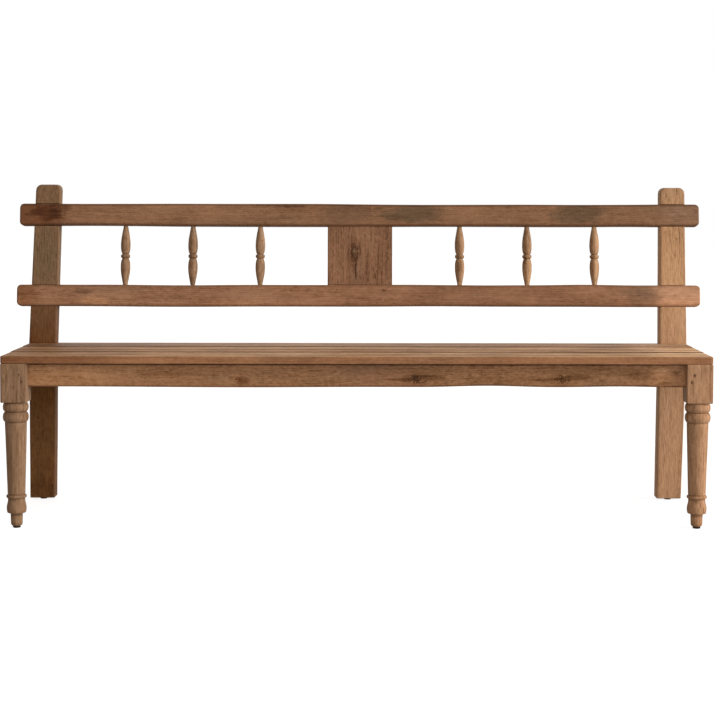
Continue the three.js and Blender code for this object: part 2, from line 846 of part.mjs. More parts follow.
battenXs.forEach((x, index) => {
  const batten = box(
    [x - battenWidth / 2, x + battenWidth / 2],
    [apronBackY - battenHousing + fitGap, rearApronFrontY + battenHousing - fitGap],
    [battenBottom, frameTop],
  );
  const cut = boardScrewYs.map((y) => screw(boardScrewLength, fitGap).translate(x, y, battenBottom));
  place(bench, `seat_batten_${battenNames[index]}`, worked(batten, { cut }), hiddenWood);
  boardScrewYs.forEach((y, i) => {
    const name = `${seatBoards[i + 1].name}_screw_${battenNames[index]}`;
    place(bench, name, screw(boardScrewLength), steel, [x, y, battenBottom]);
  });
  place(bench, `front_board_dowel_${battenNames[index]}`, dowel(), hiddenWood, dowelSpots[index]);
});

export default bench;
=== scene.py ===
# The deacons bench in reclaimed hardwood: worn timbers, turned legs and spindles, and their wood, built
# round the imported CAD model. Metres. X runs along the bench, Y to its back and Z up, as in the CAD.

from math import copysign, cos, pi, radians, sin, sqrt, tan, tau

import bmesh
import bpy
from mathutils import Matrix, Vector, kdtree, noise


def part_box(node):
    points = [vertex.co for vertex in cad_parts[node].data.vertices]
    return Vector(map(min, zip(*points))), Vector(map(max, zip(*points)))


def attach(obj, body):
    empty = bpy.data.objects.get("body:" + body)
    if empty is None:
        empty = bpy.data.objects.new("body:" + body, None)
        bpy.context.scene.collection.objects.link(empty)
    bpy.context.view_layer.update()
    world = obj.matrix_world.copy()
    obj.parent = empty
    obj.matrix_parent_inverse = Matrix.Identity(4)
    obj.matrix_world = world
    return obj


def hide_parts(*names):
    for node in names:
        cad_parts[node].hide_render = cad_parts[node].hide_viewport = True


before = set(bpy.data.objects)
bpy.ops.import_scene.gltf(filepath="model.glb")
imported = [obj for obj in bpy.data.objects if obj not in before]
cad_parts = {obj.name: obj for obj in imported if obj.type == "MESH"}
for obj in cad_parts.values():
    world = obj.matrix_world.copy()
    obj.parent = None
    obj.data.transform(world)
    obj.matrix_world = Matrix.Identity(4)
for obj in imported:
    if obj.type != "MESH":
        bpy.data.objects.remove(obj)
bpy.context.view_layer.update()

MM = 0.001
BODY = "root"


def mm(*lengths):
    """Lengths in millimetres, turned into metres."""
    return tuple(length * MM for length in lengths)


# Places and sizes that the CAD sets
SEAT_MIDDLE = -1.75 * MM
SEAT_END = 0.917  # from the seat's middle
PANEL_MIDDLE = 3.75 * MM
KNEE_Y = 0.13775
KNEE_Z = 0.45
RAKE = radians(8)
POST_DEPTH = 48.5 * MM
POST_WIDTHS = mm(70, 75.5, 68.5)  # at the foot, the knee and the top
POST_FOOT_Z = 5 * MM
POST_TOP_Z = 0.892
POST_CORNER = 16 * MM
RIGHT_POST_DROP = 7 * MM
LEFT_POST_LEAN = radians(1.6)
FOOT_SLOPE = 63 / 445
RAIL_FRONT = -2 * MM
RAIL_BACK = 28 * MM
LAP_DEPTH = 20 * MM
FIT = 0.3 * MM
LOWER_RAIL = mm(104.5, 165)
UPPER_RAIL = mm(330, 393)
RAIL_MIDDLE_Y = (RAIL_FRONT + RAIL_BACK) / 2
PANEL_HALF = 90.5 * MM
PANEL_THICKNESS = 20 * MM
SPINDLE_XS = {1: 279.5 * MM, 2: 468.5 * MM, 3: 657.5 * MM}
BLOCK_SIDE = 67.5 * MM
BLOCK_BOTTOM = 328.5 * MM
FRAME_TOP = 0.43
LEG_X = 0.88325
LEG_Y = -215.5 * MM
NAIL_RADIUS = 1.7 * MM
SCREW_RADIUS = 2 * MM
SCREW_HEAD = mm(4, 3)  # its radius and height
SCREW_LENGTH = 40 * MM
LEG_NAIL_LENGTH = 44 * MM
PANEL_NAIL_LENGTH = 24 * MM
SIDES = {"left": -1, "right": 1}

IN_PLACE = Matrix.Identity(4)
SEAT_FRAME = Matrix.Translation((SEAT_MIDDLE, 0, 0))
RAKED = Matrix.Translation((PANEL_MIDDLE, KNEE_Y, KNEE_Z)) @ Matrix.Rotation(-RAKE, 4, "X")

# The photograph's camera, as measured on its 714 by 714 pixels
PHOTO_SIZE = 714
PHOTO_FOCAL = 1759
PHOTO_CENTRE = (370.25, 287.0)
CAMERA_PLACE = Vector((SEAT_MIDDLE + 34.2 * MM, -4.74925, 0.8644))
CAMERA_PITCH = radians(3)
CAMERA_ROLL = radians(-0.08)
SENSOR = 36

# Which way a piece's grain, its width and its thickness run
X_AXIS = Vector((1, 0, 0))
Y_AXIS = Vector((0, 1, 0))
Z_AXIS = Vector((0, 0, 1))
ALONG_X = (X_AXIS, Z_AXIS, Y_AXIS)  # rails and aprons: the width stands up
BOARD_X = (X_AXIS, Y_AXIS, Z_AXIS)  # seat boards: the width lies level
UPRIGHT = (Z_AXIS, X_AXIS, Y_AXIS)
ALONG_Y = (Y_AXIS, Z_AXIS, X_AXIS)
BATTEN_Y = (Y_AXIS, X_AXIS, Z_AXIS)


def srgb(red, green, blue):
    """A linear colour from the values that a picture shows, 0 to 255."""

    def linear(value):
        share = value / 255
        return share / 12.92 if share <= 0.04045 else ((share + 0.055) / 1.055) ** 2.4

    return (linear(red), linear(green), linear(blue), 1.0)


def put_in_scene(name, data):
    thing = bpy.data.objects.new(name, data)
    bpy.context.scene.collection.objects.link(thing)
    return thing


# Camera


def make_camera():
    data = bpy.data.cameras.new("camera")
    data.sensor_width = SENSOR
    data.lens = PHOTO_FOCAL * SENSOR / PHOTO_SIZE
    data.shift_x = -(PHOTO_CENTRE[0] - PHOTO_SIZE / 2) / PHOTO_SIZE
    data.shift_y = (PHOTO_CENTRE[1] - PHOTO_SIZE / 2) / PHOTO_SIZE
    data.clip_end = 100
    camera = put_in_scene("camera", data)
    camera.location = CAMERA_PLACE
    camera.rotation_euler = (pi / 2 - CAMERA_PITCH, CAMERA_ROLL, 0)
    bpy.context.scene.camera = camera


def pixel_ray(px, py):
    """The direction in which the photograph's camera sees a pixel."""
    ahead = Vector((0, cos(CAMERA_PITCH), -sin(CAMERA_PITCH)))
    up = Vector((0, sin(CAMERA_PITCH), cos(CAMERA_PITCH)))
    right = (px - PHOTO_CENTRE[0]) / PHOTO_FOCAL
    rise = (PHOTO_CENTRE[1] - py) / PHOTO_FOCAL
    return Matrix.Rotation(CAMERA_ROLL, 3, "Y") @ (ahead + X_AXIS * right + up * rise)


def on_face(px, py, matrix, axes, depth):
    """Where a pixel of the photograph lies on a piece's front face, as (along, across) its grain."""
    back = matrix.inverted()
    origin = back @ CAMERA_PLACE
    ray = back.to_3x3() @ pixel_ray(px, py)
    reach = (depth - origin.dot(axes[2])) / ray.dot(axes[2])
    point = origin + ray * reach
    return (point.dot(axes[0]), point.dot(axes[1]))


def from_photo(marks, face):
    """Marks put on a face. Their places are pixels of the photograph, and their sizes millimetres."""
    return [(on_face(*pixel, *face), mm(*size), *rest) for pixel, size, *rest in marks.values()]


# Lights, floor and white background. Angles are in degrees.

KEY = {"azimuth": 70, "elevation": 11, "strength": 4.6, "spread": 45, "colour": (1.0, 0.99, 0.97)}
REAR = {"azimuth": 184, "elevation": 34, "strength": 0.6, "spread": 30, "colour": (1.0, 0.99, 0.98)}
FRONT_PLACE = Vector((0.2, -6.0, 0.95))
FRONT_TARGET = Vector((0, 0, 0.5))
FRONT_SIZE = (5.0, 1.6)
FRONT_POWER = 118
FRONT_COLOUR = (1.0, 0.99, 0.98)
WORLD_COLOUR = (1.0, 0.9, 0.8)
WORLD_LIGHT = 0.36
FLOOR_HALF = 20
FLOOR_COLOUR = 0.3
FLOOR_GLOW = 0.87  # how white the camera sees the floor


def sun_lamp(name, azimuth, elevation, strength, spread, colour):
    """A distant soft light. Azimuth 0 comes from the front and 90 from the right."""
    data = bpy.data.lights.new(name, "SUN")
    data.energy = strength
    data.angle = radians(spread)
    data.color = colour
    side, rise = radians(azimuth), radians(elevation)
    source = Vector((sin(side) * cos(rise), -cos(side) * cos(rise), sin(rise)))
    put_in_scene(name, data).rotation_euler = source.to_track_quat("Z", "Y").to_euler()


def make_lights():
    sun_lamp("key", **KEY)
    sun_lamp("rear", **REAR)
    data = bpy.data.lights.new("front", "AREA")
    data.shape = "RECTANGLE"
    data.size, data.size_y = FRONT_SIZE
    data.energy = FRONT_POWER
    data.color = FRONT_COLOUR
    lamp = put_in_scene("front", data)
    lamp.location = FRONT_PLACE
    lamp.rotation_euler = (FRONT_TARGET - FRONT_PLACE).to_track_quat("-Z", "Y").to_euler()


class Nodes:
    """Short calls that add linked nodes to a material or a world."""

    def __init__(self, owner):
        owner.use_nodes = True
        self.tree = owner.node_tree
        self.tree.nodes.clear()

    def add(self, kind, values=None, **settings):
        """A node with its settings. values feeds its inputs, by name or by number."""
        node = self.tree.nodes.new("ShaderNode" + kind)
        for key, value in settings.items():
            setattr(node, key, value)
        for key, value in (values or {}).items():
            socket = node.inputs[key]
            if isinstance(value, bpy.types.NodeSocket):
                self.tree.links.new(value, socket)
            else:
                socket.default_value = value
        return node

    def math(self, operation, *values, clamp=False):
        inputs = dict(enumerate(values))
        return self.add("Math", inputs, operation=operation, use_clamp=clamp).outputs[0]

    def times(self, first, second):
        return self.math("MULTIPLY", first, second)

    def minus(self, first, second):
        return self.math("SUBTRACT", first, second)

    def vector(self, operation, *values):
        node = self.add("VectorMath", dict(enumerate(values)), operation=operation)
        return node.outputs["Value" if operation == "LENGTH" else "Vector"]

    def mix(self, factor, first, second, blend="MIX"):
        inputs = {"Factor": factor, 6: first, 7: second}
        return self.add("Mix", inputs, data_type="RGBA", blend_type=blend).outputs[2]

    def tint(self, cover, colour, tint):
        """The colour times the tint, as far as cover goes."""
        return self.mix(cover, colour, (*tint, 1), "MULTIPLY")

    def noise(self, place, stretch, detail=2, roughness=0.5, output="Fac"):
        """Smooth chance values. stretch is how often they change in a metre, along each axis."""
        inputs = {"Vector": self.vector("MULTIPLY", place, stretch), "Scale": 1.0}
        inputs.update({"Detail": detail, "Roughness": roughness})
        return self.add("TexNoise", inputs).outputs[output]

    def remap(self, value, low, high, to_low=0.0, to_high=1.0):
        inputs = dict(enumerate((value, low, high, to_low, to_high)))
        return self.add("MapRange", inputs, interpolation_type="SMOOTHSTEP").outputs[0]

    def ramp(self, factor, stops):
        node = self.add("ValToRGB", {0: factor})
        elements = node.color_ramp.elements
        while len(elements) < len(stops):
            elements.new(0.5)
        for element, (place, colour) in zip(elements, stops):
            element.position = place
            element.color = colour
        return node.outputs[0]

    def attribute(self, name, output):
        return self.add("Attribute", attribute_name=name).outputs[output]

    def part(self, vector, index):
        return self.add("SeparateXYZ", {0: vector}).outputs[index]

    def bump(self, height, strength, distance):
        inputs = {"Height": height, "Strength": strength, "Distance": distance}
        return self.add("Bump", inputs).outputs[0]

    def seen_directly(self):
        """1 for what the camera, a mirror or a glass looks at, 0 for what lights the bench."""
        path = self.add("LightPath")
        seen = self.math("MAXIMUM", path.outputs["Is Camera Ray"], path.outputs["Is Glossy Ray"])
        return self.math("MAXIMUM", seen, path.outputs["Is Transmission Ray"])


def make_world():
    world = bpy.data.worlds.new("studio")
    bpy.context.scene.world = world
    n = Nodes(world)
    light = n.add("Background", {"Color": (*WORLD_COLOUR, 1), "Strength": WORLD_LIGHT})
    shown = n.add("Background", {"Color": (1, 1, 1, 1), "Strength": 1.0})
    shaders = {0: n.seen_directly(), 1: light.outputs[0], 2: shown.outputs[0]}
    both = n.add("MixShader", shaders)
    n.add("OutputWorld", {"Surface": both.outputs[0]})


def make_floor():
    """A pale floor that the camera sees as white, with the bench's soft shadow on it."""
    mesh = bpy.data.meshes.new("floor")
    build = bmesh.new()
    bmesh.ops.create_grid(build, x_segments=1, y_segments=1, size=FLOOR_HALF)
    build.to_mesh(mesh)
    build.free()
    material = bpy.data.materials.new("floor")
    n = Nodes(material)
    surface = n.add("BsdfDiffuse", {"Color": (FLOOR_COLOUR, FLOOR_COLOUR, FLOOR_COLOUR, 1)})
    glow = n.add("Emission", {"Strength": n.times(n.seen_directly(), FLOOR_GLOW)})
    both = n.add("AddShader", {0: surface.outputs[0], 1: glow.outputs[0]})
    n.add("OutputMaterial", {"Surface": both.outputs[0]})
    mesh.materials.append(material)
    put_in_scene("floor", mesh)


# Wood

WOOD_SHINE = 0.08
RINGS_PER_METRE = 190
RING_SHARPNESS = 2.5
GRAIN_WANDER = 22 * MM
SEED_STEP = (1.37, 0.61, 0.83)  # how far apart two pieces lie in the same noise
TONE_STOPS = ((0.0, 0.42, 0.12), (0.3, 0.74, 0.05), (0.5, 1.0, 0.0), (0.72, 1.24, -0.03), (1.0, 1.55, -0.06))

# Noise in every wood: how often it changes in a metre along and across the grain, its detail and roughness
WANDER_NOISE = (2.4, 9, 2, 0.5)
LINE_NOISE = (6, 290, 3, 0.6)
FLECK_NOISE = (55, 230, 2, 0.5)
GREYING_NOISE = (2.5, 15, 4, 0.5)
FIBRE_NOISE = (24, 850, 3, 0.6)
PORE_NOISE = (75, 1300, 1, 0.5)
RUB_NOISE = (30, 60, 3, 0.5)

# How high streaks, fibres, mottle, rings, pores and cracks stand, as shares of the whole relief
RELIEF = (0.4, 0.5, 0.9, -0.12, -0.4, -1.6)
RELIEF_DEPTH = 0.9 * MM

# What each mark multiplies the wood's colour by
PORE_TINT = (0.45, 0.4, 0.36)
FLECK_TINT = (0.5, 0.42, 0.36)
GREY_TINT = (0.72, 0.8, 0.88)
CRACK_TINT = (0.22, 0.18, 0.15)
# Dirt and painted shade along edges and in grooves
DIRT_AND_SHADE_TINT = (0.42, 0.36, 0.31)
END_TINT = (0.55, 0.48, 0.42)
SPECK_TINT = (2.2, 2.3, 2.5)


def tinted(colour, share, warm=0.0):
    """The colour made lighter or darker, and a little redder with warm above 0."""
    red, green, blue, _ = colour
    return (min(red * share * (1 + warm), 1), min(green * share, 1), min(blue * share * (1 - warm), 1), 1)


def patch_distance(n, place, at, size, ragged):
    """How far a point is from the middle of an oval patch, 1 on its rim, with a ragged rim."""
    stretch = (1 / size[0], 1 / size[1], 0)
    distance = n.vector("LENGTH", n.vector("MULTIPLY", n.vector("SUBTRACT", place, (*at, 0)), stretch))
    broad = n.noise(place, (stretch[0] * 0.8, stretch[1] * 0.8, 40), 3)
    fine = n.noise(place, (70, 130, 130), 4, 0.65)
    rough = n.math("MULTIPLY_ADD", fine, 0.7, broad)
    return n.math("MULTIPLY_ADD", n.minus(rough, 0.85), ragged, distance)


def add_stain(n, colour, place, at, size, tint, ragged=0.9, soft=0.45):
    distance = patch_distance(n, place, at, size, ragged)
    return n.tint(n.remap(distance, 1 - soft, 1 + soft, 1, 0), colour, tint)


def add_knot(n, colour, place, at, size, tint, heart=None):
    """A dark, torn core with pale specks, whose colour fades into the grain. With a heart's tint the core
    is a dark ring round a paler heart."""
    distance = patch_distance(n, place, at, size, 0.9)
    grit = n.noise(place, (230, 290, 290), 4, 0.7)
    torn = n.math("MULTIPLY_ADD", n.minus(grit, 0.5), 2.6, distance)
    colour = n.mix(n.remap(distance, 0.8, 2.6, 0.6, 0), colour, tinted((*tint, 1), 1.5), "MULTIPLY")
    core = n.remap(torn, 0.5, 1.3, 0.95, 0)
    if heart:
        core = n.times(n.remap(torn, 1.0, 1.5, 0.95, 0), n.remap(distance, 0.45, 0.8))
        colour = n.tint(n.remap(distance, 0.5, 0.9, 1, 0), colour, heart)
    colour = n.tint(core, colour, tint)
    specks = n.times(n.remap(grit, 0.52, 0.6), n.remap(distance, 0.8, 1.6, 0.9, 0))
    return n.tint(specks, colour, SPECK_TINT)


def crack_cover(n, place, at, size):
    """How much a thin crack along the grain covers a point."""
    along, across = at
    length, width, wander = size
    bend = n.times(n.minus(n.noise(place, (38, 6, 6)), 0.5), wander)
    off = n.minus(n.minus(n.part(place, 1), across), bend)
    run = n.math("ABSOLUTE", n.minus(n.part(place, 0), along))
    taper = n.remap(run, length * 0.2, length * 0.5, 1, 0)
    close = n.remap(n.math("DIVIDE", n.math("ABSOLUTE", off), width), 0.35, 1.0, 1, 0)
    return n.times(taper, close)


def spread_round_knots(n, place, knots):
    """Bends the grain so that it parts and flows round each knot."""
    for at, size, *_ in knots:
        stretch = (0.55 / size[0], 1 / size[1], 0)
        off = n.vector("SUBTRACT", place, (*at, 0))
        distance = n.vector("LENGTH", n.vector("MULTIPLY", off, stretch))
        pull = n.times(n.part(off, 1), n.remap(distance, 0.3, 3.2, 0.85, 0))
        spot = n.add("CombineXYZ", {1: pull})
        place = n.vector("SUBTRACT", place, spot.outputs[0])
    return place


def year_rings(n, place, middle, arch):
    """Waves round the pith, 1 in the dark late wood."""
    core = n.vector("MULTIPLY", n.vector("SUBTRACT", place, middle), (arch, 1, 1))
    wave = n.math("SINE", n.times(n.vector("LENGTH", core), tau * RINGS_PER_METRE))
    return n.math("POWER", n.math("MULTIPLY_ADD", wave, 0.5, 0.5), RING_SHARPNESS)


# How a wood looks, where its own call doesn't say otherwise
PLAIN_LOOK = {
    "contrast": 1.0,
    "streaks": (4.5, 75, 0.35),  # changes in a metre along and across the grain, and how strong
    "patches": (7, 15, 0.8),
    "mottle": (48, 115, 1.3),
    "lines": 0.55,
    "fibres": 0.35,
    "rings": 0.1,
    "pores": 0.4,
    "flecks": 0.8,
    "grey": 0.55,
    "wear": 0.3,
    "grime": 0.3,  # dirt and painted shade along its edges
    "pith": (0, 0.02, -0.07),  # where the rings' middle lies
    "arch": 0.05,  # how short the rings' arches are along the grain
    "painted_top_light": None,  # a height above which the top is painted paler, for the light and sheen that fall on it, and by what factors
}


def wood(name, tone, seed, stains=(), knots=(), cracks=(), **look):
    """A worn, unpolished hardwood. tone is its mean colour, and seed sets its own figure. Places are given
    as (along, across) the grain, in metres in the piece's own frame."""
    look = {**PLAIN_LOOK, **look}
    material = bpy.data.materials.new(name)
    n = Nodes(material)

    def layer(source, along, across, detail, roughness=0.5, output="Fac"):
        return n.noise(source, (along, across, across), detail, roughness, output)

    place = n.attribute("grain", "Vector")
    shift = tuple(seed * step for step in SEED_STEP)
    moved = n.vector("ADD", spread_round_knots(n, place, knots), shift)
    wander = n.vector("SUBTRACT", layer(moved, *WANDER_NOISE, output="Color"), (0.5, 0.5, 0.5))
    bent = n.vector("ADD", moved, n.vector("MULTIPLY", wander, (0, GRAIN_WANDER, GRAIN_WANDER)))
    middle = tuple(own + pith for own, pith in zip(shift, look["pith"]))
    rings = year_rings(n, bent, middle, look["arch"])
    streaks = layer(bent, *look["streaks"][:2], 5, 0.6)
    patches = layer(moved, *look["patches"][:2], 3)
    mottle = layer(bent, *look["mottle"][:2], 6, 0.8)
    fibres = layer(bent, *FIBRE_NOISE)
    pores = n.remap(layer(bent, *PORE_NOISE), 0.62, 0.7)

    figure = 0.5
    for value, amount, mean in (
        (streaks, look["streaks"][2], 0.5),
        (rings, -look["rings"], 0.35),
        (patches, look["patches"][2], 0.5),
        (mottle, look["mottle"][2], 0.5),
        (layer(bent, *LINE_NOISE), look["lines"], 0.5),
        (fibres, look["fibres"], 0.5),
    ):
        share = n.times(n.minus(value, mean), amount * look["contrast"])
        figure = n.math("ADD", share, figure)
    colour = n.ramp(figure, [(stop, tinted(tone, share, warm)) for stop, share, warm in TONE_STOPS])
    colour = n.tint(n.times(pores, look["pores"]), colour, PORE_TINT)
    flecks = n.remap(layer(bent, *FLECK_NOISE), 0.61, 0.69)
    flecks = n.times(flecks, n.remap(patches, 0.62, 0.35, 0.15, 1))
    colour = n.tint(n.times(flecks, look["flecks"]), colour, FLECK_TINT)
    greying = n.remap(layer(moved, *GREYING_NOISE), 0.48, 0.68)
    colour = n.tint(n.times(greying, look["grey"]), colour, GREY_TINT)

    # Painted light and sheen on top faces, above a height
    if look["painted_top_light"]:
        height, paler = look["painted_top_light"]
        colour = n.tint(n.remap(n.part(place, 2), height - 0.6 * MM, height), colour, paler)
    for stain in stains:
        colour = add_stain(n, colour, place, *stain)
    for knot in knots:
        colour = add_knot(n, colour, place, *knot)
    split = 0.0
    for crack in cracks:
        cover = crack_cover(n, place, *crack)
        colour = n.tint(n.times(cover, 0.85), colour, CRACK_TINT)
        split = n.math("ADD", cover, split)
    colour = add_wear(n, colour, layer(moved, *RUB_NOISE), tone, look)

    relief = 0.0
    for value, height in zip((streaks, fibres, mottle, rings, pores, split), RELIEF):
        relief = n.math("MULTIPLY_ADD", value, height, relief)
    inputs = {
        "Base Color": colour,
        "Roughness": n.math("MULTIPLY_ADD", mottle, 0.3, 0.5, clamp=True),
        "Specular IOR Level": WOOD_SHINE,
        "Normal": n.bump(relief, 0.5, RELIEF_DEPTH),
    }
    shader = n.add("BsdfPrincipled", inputs)
    n.add("OutputMaterial", {"Surface": shader.outputs[0]})
    return material


def add_wear(n, colour, rub, tone, look):
    """Paler rubbed edges, dirt and painted shade beside them and in the grooves, and darker end grain."""
    edge = n.attribute("edge", "Fac")
    rubbed = n.math("ADD", edge, n.times(n.minus(rub, 0.5), 1.2))
    colour = n.mix(n.remap(rubbed, 0.55, 1.2, 0, look["wear"]), colour, tinted(tone, 1.3, -0.02))
    # Darker arrises and grooves: dirt, and painted shade where edges and hollows lie in shade
    colour = n.tint(n.times(n.remap(edge, 0.25, 0.8), look["grime"]), colour, DIRT_AND_SHADE_TINT)
    colour = n.tint(n.remap(rubbed, -1.0, -0.1, 0.6, 0), colour, DIRT_AND_SHADE_TINT)
    return n.tint(n.times(n.attribute("end", "Fac"), 0.55), colour, END_TINT)


# Timbers

EDGE_STEPS = 4  # in each rounded corner
STEP = 11 * MM  # between two sections along a timber
NEAR_ARRIS = mm(2.5, 8)  # where a face has more points beside its arrises
NEAR_SHARES = (0.12, 0.28)  # and the most of a narrow face that they take up
ARRIS_WEAR = (1.0, 0.45, 0.1)  # on an arris and at those points
MOST_ROUNDED = 0.8  # of a section's half width
END_GRAIN = 0.4 * MM  # how far from an end its grain still shows

# Chance in a timber's wear, which changes so many times in a metre
ARRIS_WAVES, ARRIS_CHANGE = 9, 0.45
CHIP_WAVES, CHIP_ABOVE, CHIP_DEPTH = 21, 0.45, 1.6 * MM
DIP_WAVES = (4.3, 6.1)
DIP_SEEDS = (11, 14)
CHIP_SEED = 3
ROLL_SEEDS = ((5.17, 0.31), (2.63, 0.77))

# How age shows on each kind of timber: the radius of its arrises, and how far its faces may dip
BOARD_AGE = mm(1.3, 0.6)
BAR_AGE = mm(2, 0.6)
POST_AGE = mm(3, 0.9)
RAIL_AGE = mm(3.5, 1.3)
PANEL_AGE = mm(1.5, 0.4)
BLOCK_AGE = mm(2, 0.5)


def side_places(length, count):
    """Places along one flat side of a section, close together near its corners, with their wear."""
    near, far = (min(place, length * share) for place, share in zip(NEAR_ARRIS, NEAR_SHARES))
    first = list(zip((0, near, far), ARRIS_WEAR))
    middle = [(far + (length - 2 * far) * i / count, 0.0) for i in range(1, count)]
    return first + middle + [(length - place, wear) for place, wear in reversed(first)]


def section(half_u, half_v, radius, counts):
    """Points round a rectangle with rounded corners: (u, v, how near the point is to a corner)."""
    flat_u, flat_v = half_u - radius, half_v - radius
    sides = [
        ((-flat_u, -half_v), (1, 0), 2 * flat_u, counts[0], (flat_u, -flat_v)),
        ((half_u, -flat_v), (0, 1), 2 * flat_v, counts[1], (flat_u, flat_v)),
        ((flat_u, half_v), (-1, 0), 2 * flat_u, counts[0], (-flat_u, flat_v)),
        ((-half_u, flat_v), (0, -1), 2 * flat_v, counts[1], (-flat_u, -flat_v)),
    ]
    points = []
    for index, ((u, v), (du, dv), length, count, corner) in enumerate(sides):
        for place, wear in side_places(length, count):
            points.append((u + du * place, v + dv * place, wear))
        for i in range(1, EDGE_STEPS):
            turn = pi / 2 * (index - 1 + i / EDGE_STEPS)
            points.append((corner[0] + radius * cos(turn), corner[1] + radius * sin(turn), 1.0))
    return points


def rounding(distance, radius):
    """How much a round end of this radius takes off a half width, at a distance from the end."""
    if distance >= radius or radius <= 0:
        return 0.0
    return radius - sqrt(radius**2 - (radius - distance) ** 2)


def end_places(radii):
    """Distances from a rounded end at which a section is needed."""
    shares = [1 - cos(pi / 2 * i / EDGE_STEPS) for i in range(EDGE_STEPS + 1)]
    return sorted({round(radius * share, 6) for radius in radii for share in shares})


def wandering(across, depth, low_waves=(), high_waves=()):
    """A bar's section along it. Its lower and upper edges rise by each wave: (place, reach, height)."""
    middle_v = sum(depth) / 2
    half_v = (depth[1] - depth[0]) / 2

    def swell(place, waves):
        shares = [(height, min(1.0, abs(place - centre) / reach)) for centre, reach, height in waves]
        return sum(height * (1 + cos(pi * share)) / 2 for height, share in shares)

    def size_at(place):
        low = across[0] + swell(place, low_waves)
        high = across[1] + swell(place, high_waves)
        return ((low + high) / 2, middle_v, (high - low) / 2, half_v)

    return size_at


def roll(seed, place, waves):
    """Smooth chance variation along a piece, -1 to 1, the same each run."""
    return noise.noise(Vector((place * waves, *(seed * step + first for step, first in ROLL_SEEDS))))


def dipped_section(half_u, half_v, radius, counts, place, seed, sway):
    """A timber's section at a place along it, moved in where its faces dip."""
    points = []
    for u, v, wear in section(half_u, half_v, radius, counts):
        side_u, side_v = copysign(1, u), copysign(1, v)
        dip_u = sway * (0.5 + 0.5 * roll(seed + DIP_SEEDS[0] * side_u, place, DIP_WAVES[0]))
        dip_v = sway * 0.5 * (0.5 + 0.5 * roll(seed + DIP_SEEDS[1] * side_v, place + u, DIP_WAVES[1]))
        points.append((u - side_u * dip_u * abs(u) / half_u, v - side_v * dip_v * abs(v) / half_v, wear))
    return points


def mesh_from_rings(rings, wears, ends):
    """A closed mesh through rings of points, with its wear and its end faces marked."""
    build = bmesh.new()
    edge_layer = build.verts.layers.float.new("edge")
    end_layer = build.verts.layers.float.new("end")
    made = []
    for ring, wear, end in zip(rings, wears, ends):
        row = []
        for point, amount in zip(ring, wear):
            vertex = build.verts.new(point)
            vertex[edge_layer] = amount
            vertex[end_layer] = end
            row.append(vertex)
        made.append(row)
    for low, high in zip(made, made[1:]):
        for i in range(len(low)):
            j = (i + 1) % len(low)
            build.faces.new((low[i], low[j], high[j], high[i]))
    build.faces.new(list(reversed(made[0])))
    build.faces.new(made[-1])
    bmesh.ops.recalc_face_normals(build, faces=build.faces)
    mesh = bpy.data.meshes.new("piece")
    build.to_mesh(mesh)
    build.free()
    return mesh


def timber(axes, span, size_at, age, seed, end_radii=mm(2.5, 2.5), counts=(4, 2)):
    """A worn stick of wood. axes are the directions of its grain, width and thickness. size_at gives the
    middle of its section, its half width and half thickness at a place."""
    along_axis, u_axis, v_axis = axes
    radius, sway = age
    start, end = span
    near = end_places(end_radii)
    inner = max(end_radii)
    count = max(2, round((end - start - 2 * inner) / STEP))
    places = [start + distance for distance in near]
    places += [start + inner + (end - start - 2 * inner) * i / count for i in range(1, count)]
    places += [end - distance for distance in reversed(near)]
    rings, wears, ends = [], [], []
    for place in places:
        middle_u, middle_v, half_u, half_v = size_at(place)
        distance = min(place - start, end - place)
        half_u -= rounding(distance, end_radii[0])
        half_v -= rounding(distance, end_radii[1])
        chip = CHIP_DEPTH * max(0, roll(seed + CHIP_SEED, place, CHIP_WAVES) - CHIP_ABOVE)
        worn = radius * (1 + ARRIS_CHANGE * roll(seed, place, ARRIS_WAVES)) + chip
        worn = min(worn, half_u * MOST_ROUNDED, half_v * MOST_ROUNDED)
        points = dipped_section(half_u, half_v, worn, counts, place, seed, sway)
        middle = along_axis * place
        rings.append([middle + u_axis * (middle_u + u) + v_axis * (middle_v + v) for u, v, _ in points])
        wears.append([wear for *_, wear in points])
        ends.append(1.0 if distance < END_GRAIN else 0.0)
    return mesh_from_rings(rings, wears, ends)


# Turned pieces

CREST_REACH = 6 * MM  # how far a neighbourhood reaches along a profile
CREST_HEIGHT = 3 * MM  # how far out of it a crest that wears most stands
OUT_OF_TRUE = 0.012  # the largest share of its radius by which a turned piece is off
TRUE_WAVES = (0.8, 14)  # round it, and in a metre along it
TRUE_SEED = 3.7

# Sides round each kind of turned piece
LEG_SIDES, SPINDLE_SIDES, GLIDE_SIDES = 64, 40, 40
SCREW_SIDES, NAIL_SIDES, HOLE_SIDES = 24, 16, 20
PIN_SEED, GLIDE_SEED = 1, 3


def crest(profile, index):
    """How far a profile's point stands out of its neighbourhood, -1 to 1: a crest above 0, a groove below."""
    radius, height = profile[index]
    near = [other for other, other_height in profile if abs(other_height - height) < CREST_REACH]
    return max(-1.0, min(1.0, (radius - sum(near) / len(near)) / CREST_HEIGHT))


def turning(profile, sides, seed):
    """A turned piece about Z, from (radius, height) points, bottom first, a little out of true by hand."""
    rings = []
    for radius, height in profile:
        ring = []
        for i in range(sides):
            turn = tau * i / sides
            across, up = TRUE_WAVES
            spot = Vector((cos(turn) * across, sin(turn) * across, height * up + seed * TRUE_SEED))
            out = radius * (1 - OUT_OF_TRUE * (1 + noise.noise(spot)))
            ring.append(Vector((out * cos(turn), out * sin(turn), height)))
        rings.append(ring)
    wears = [[crest(profile, index)] * sides for index in range(len(profile))]
    return mesh_from_rings(rings, wears, [0.0] * len(profile))


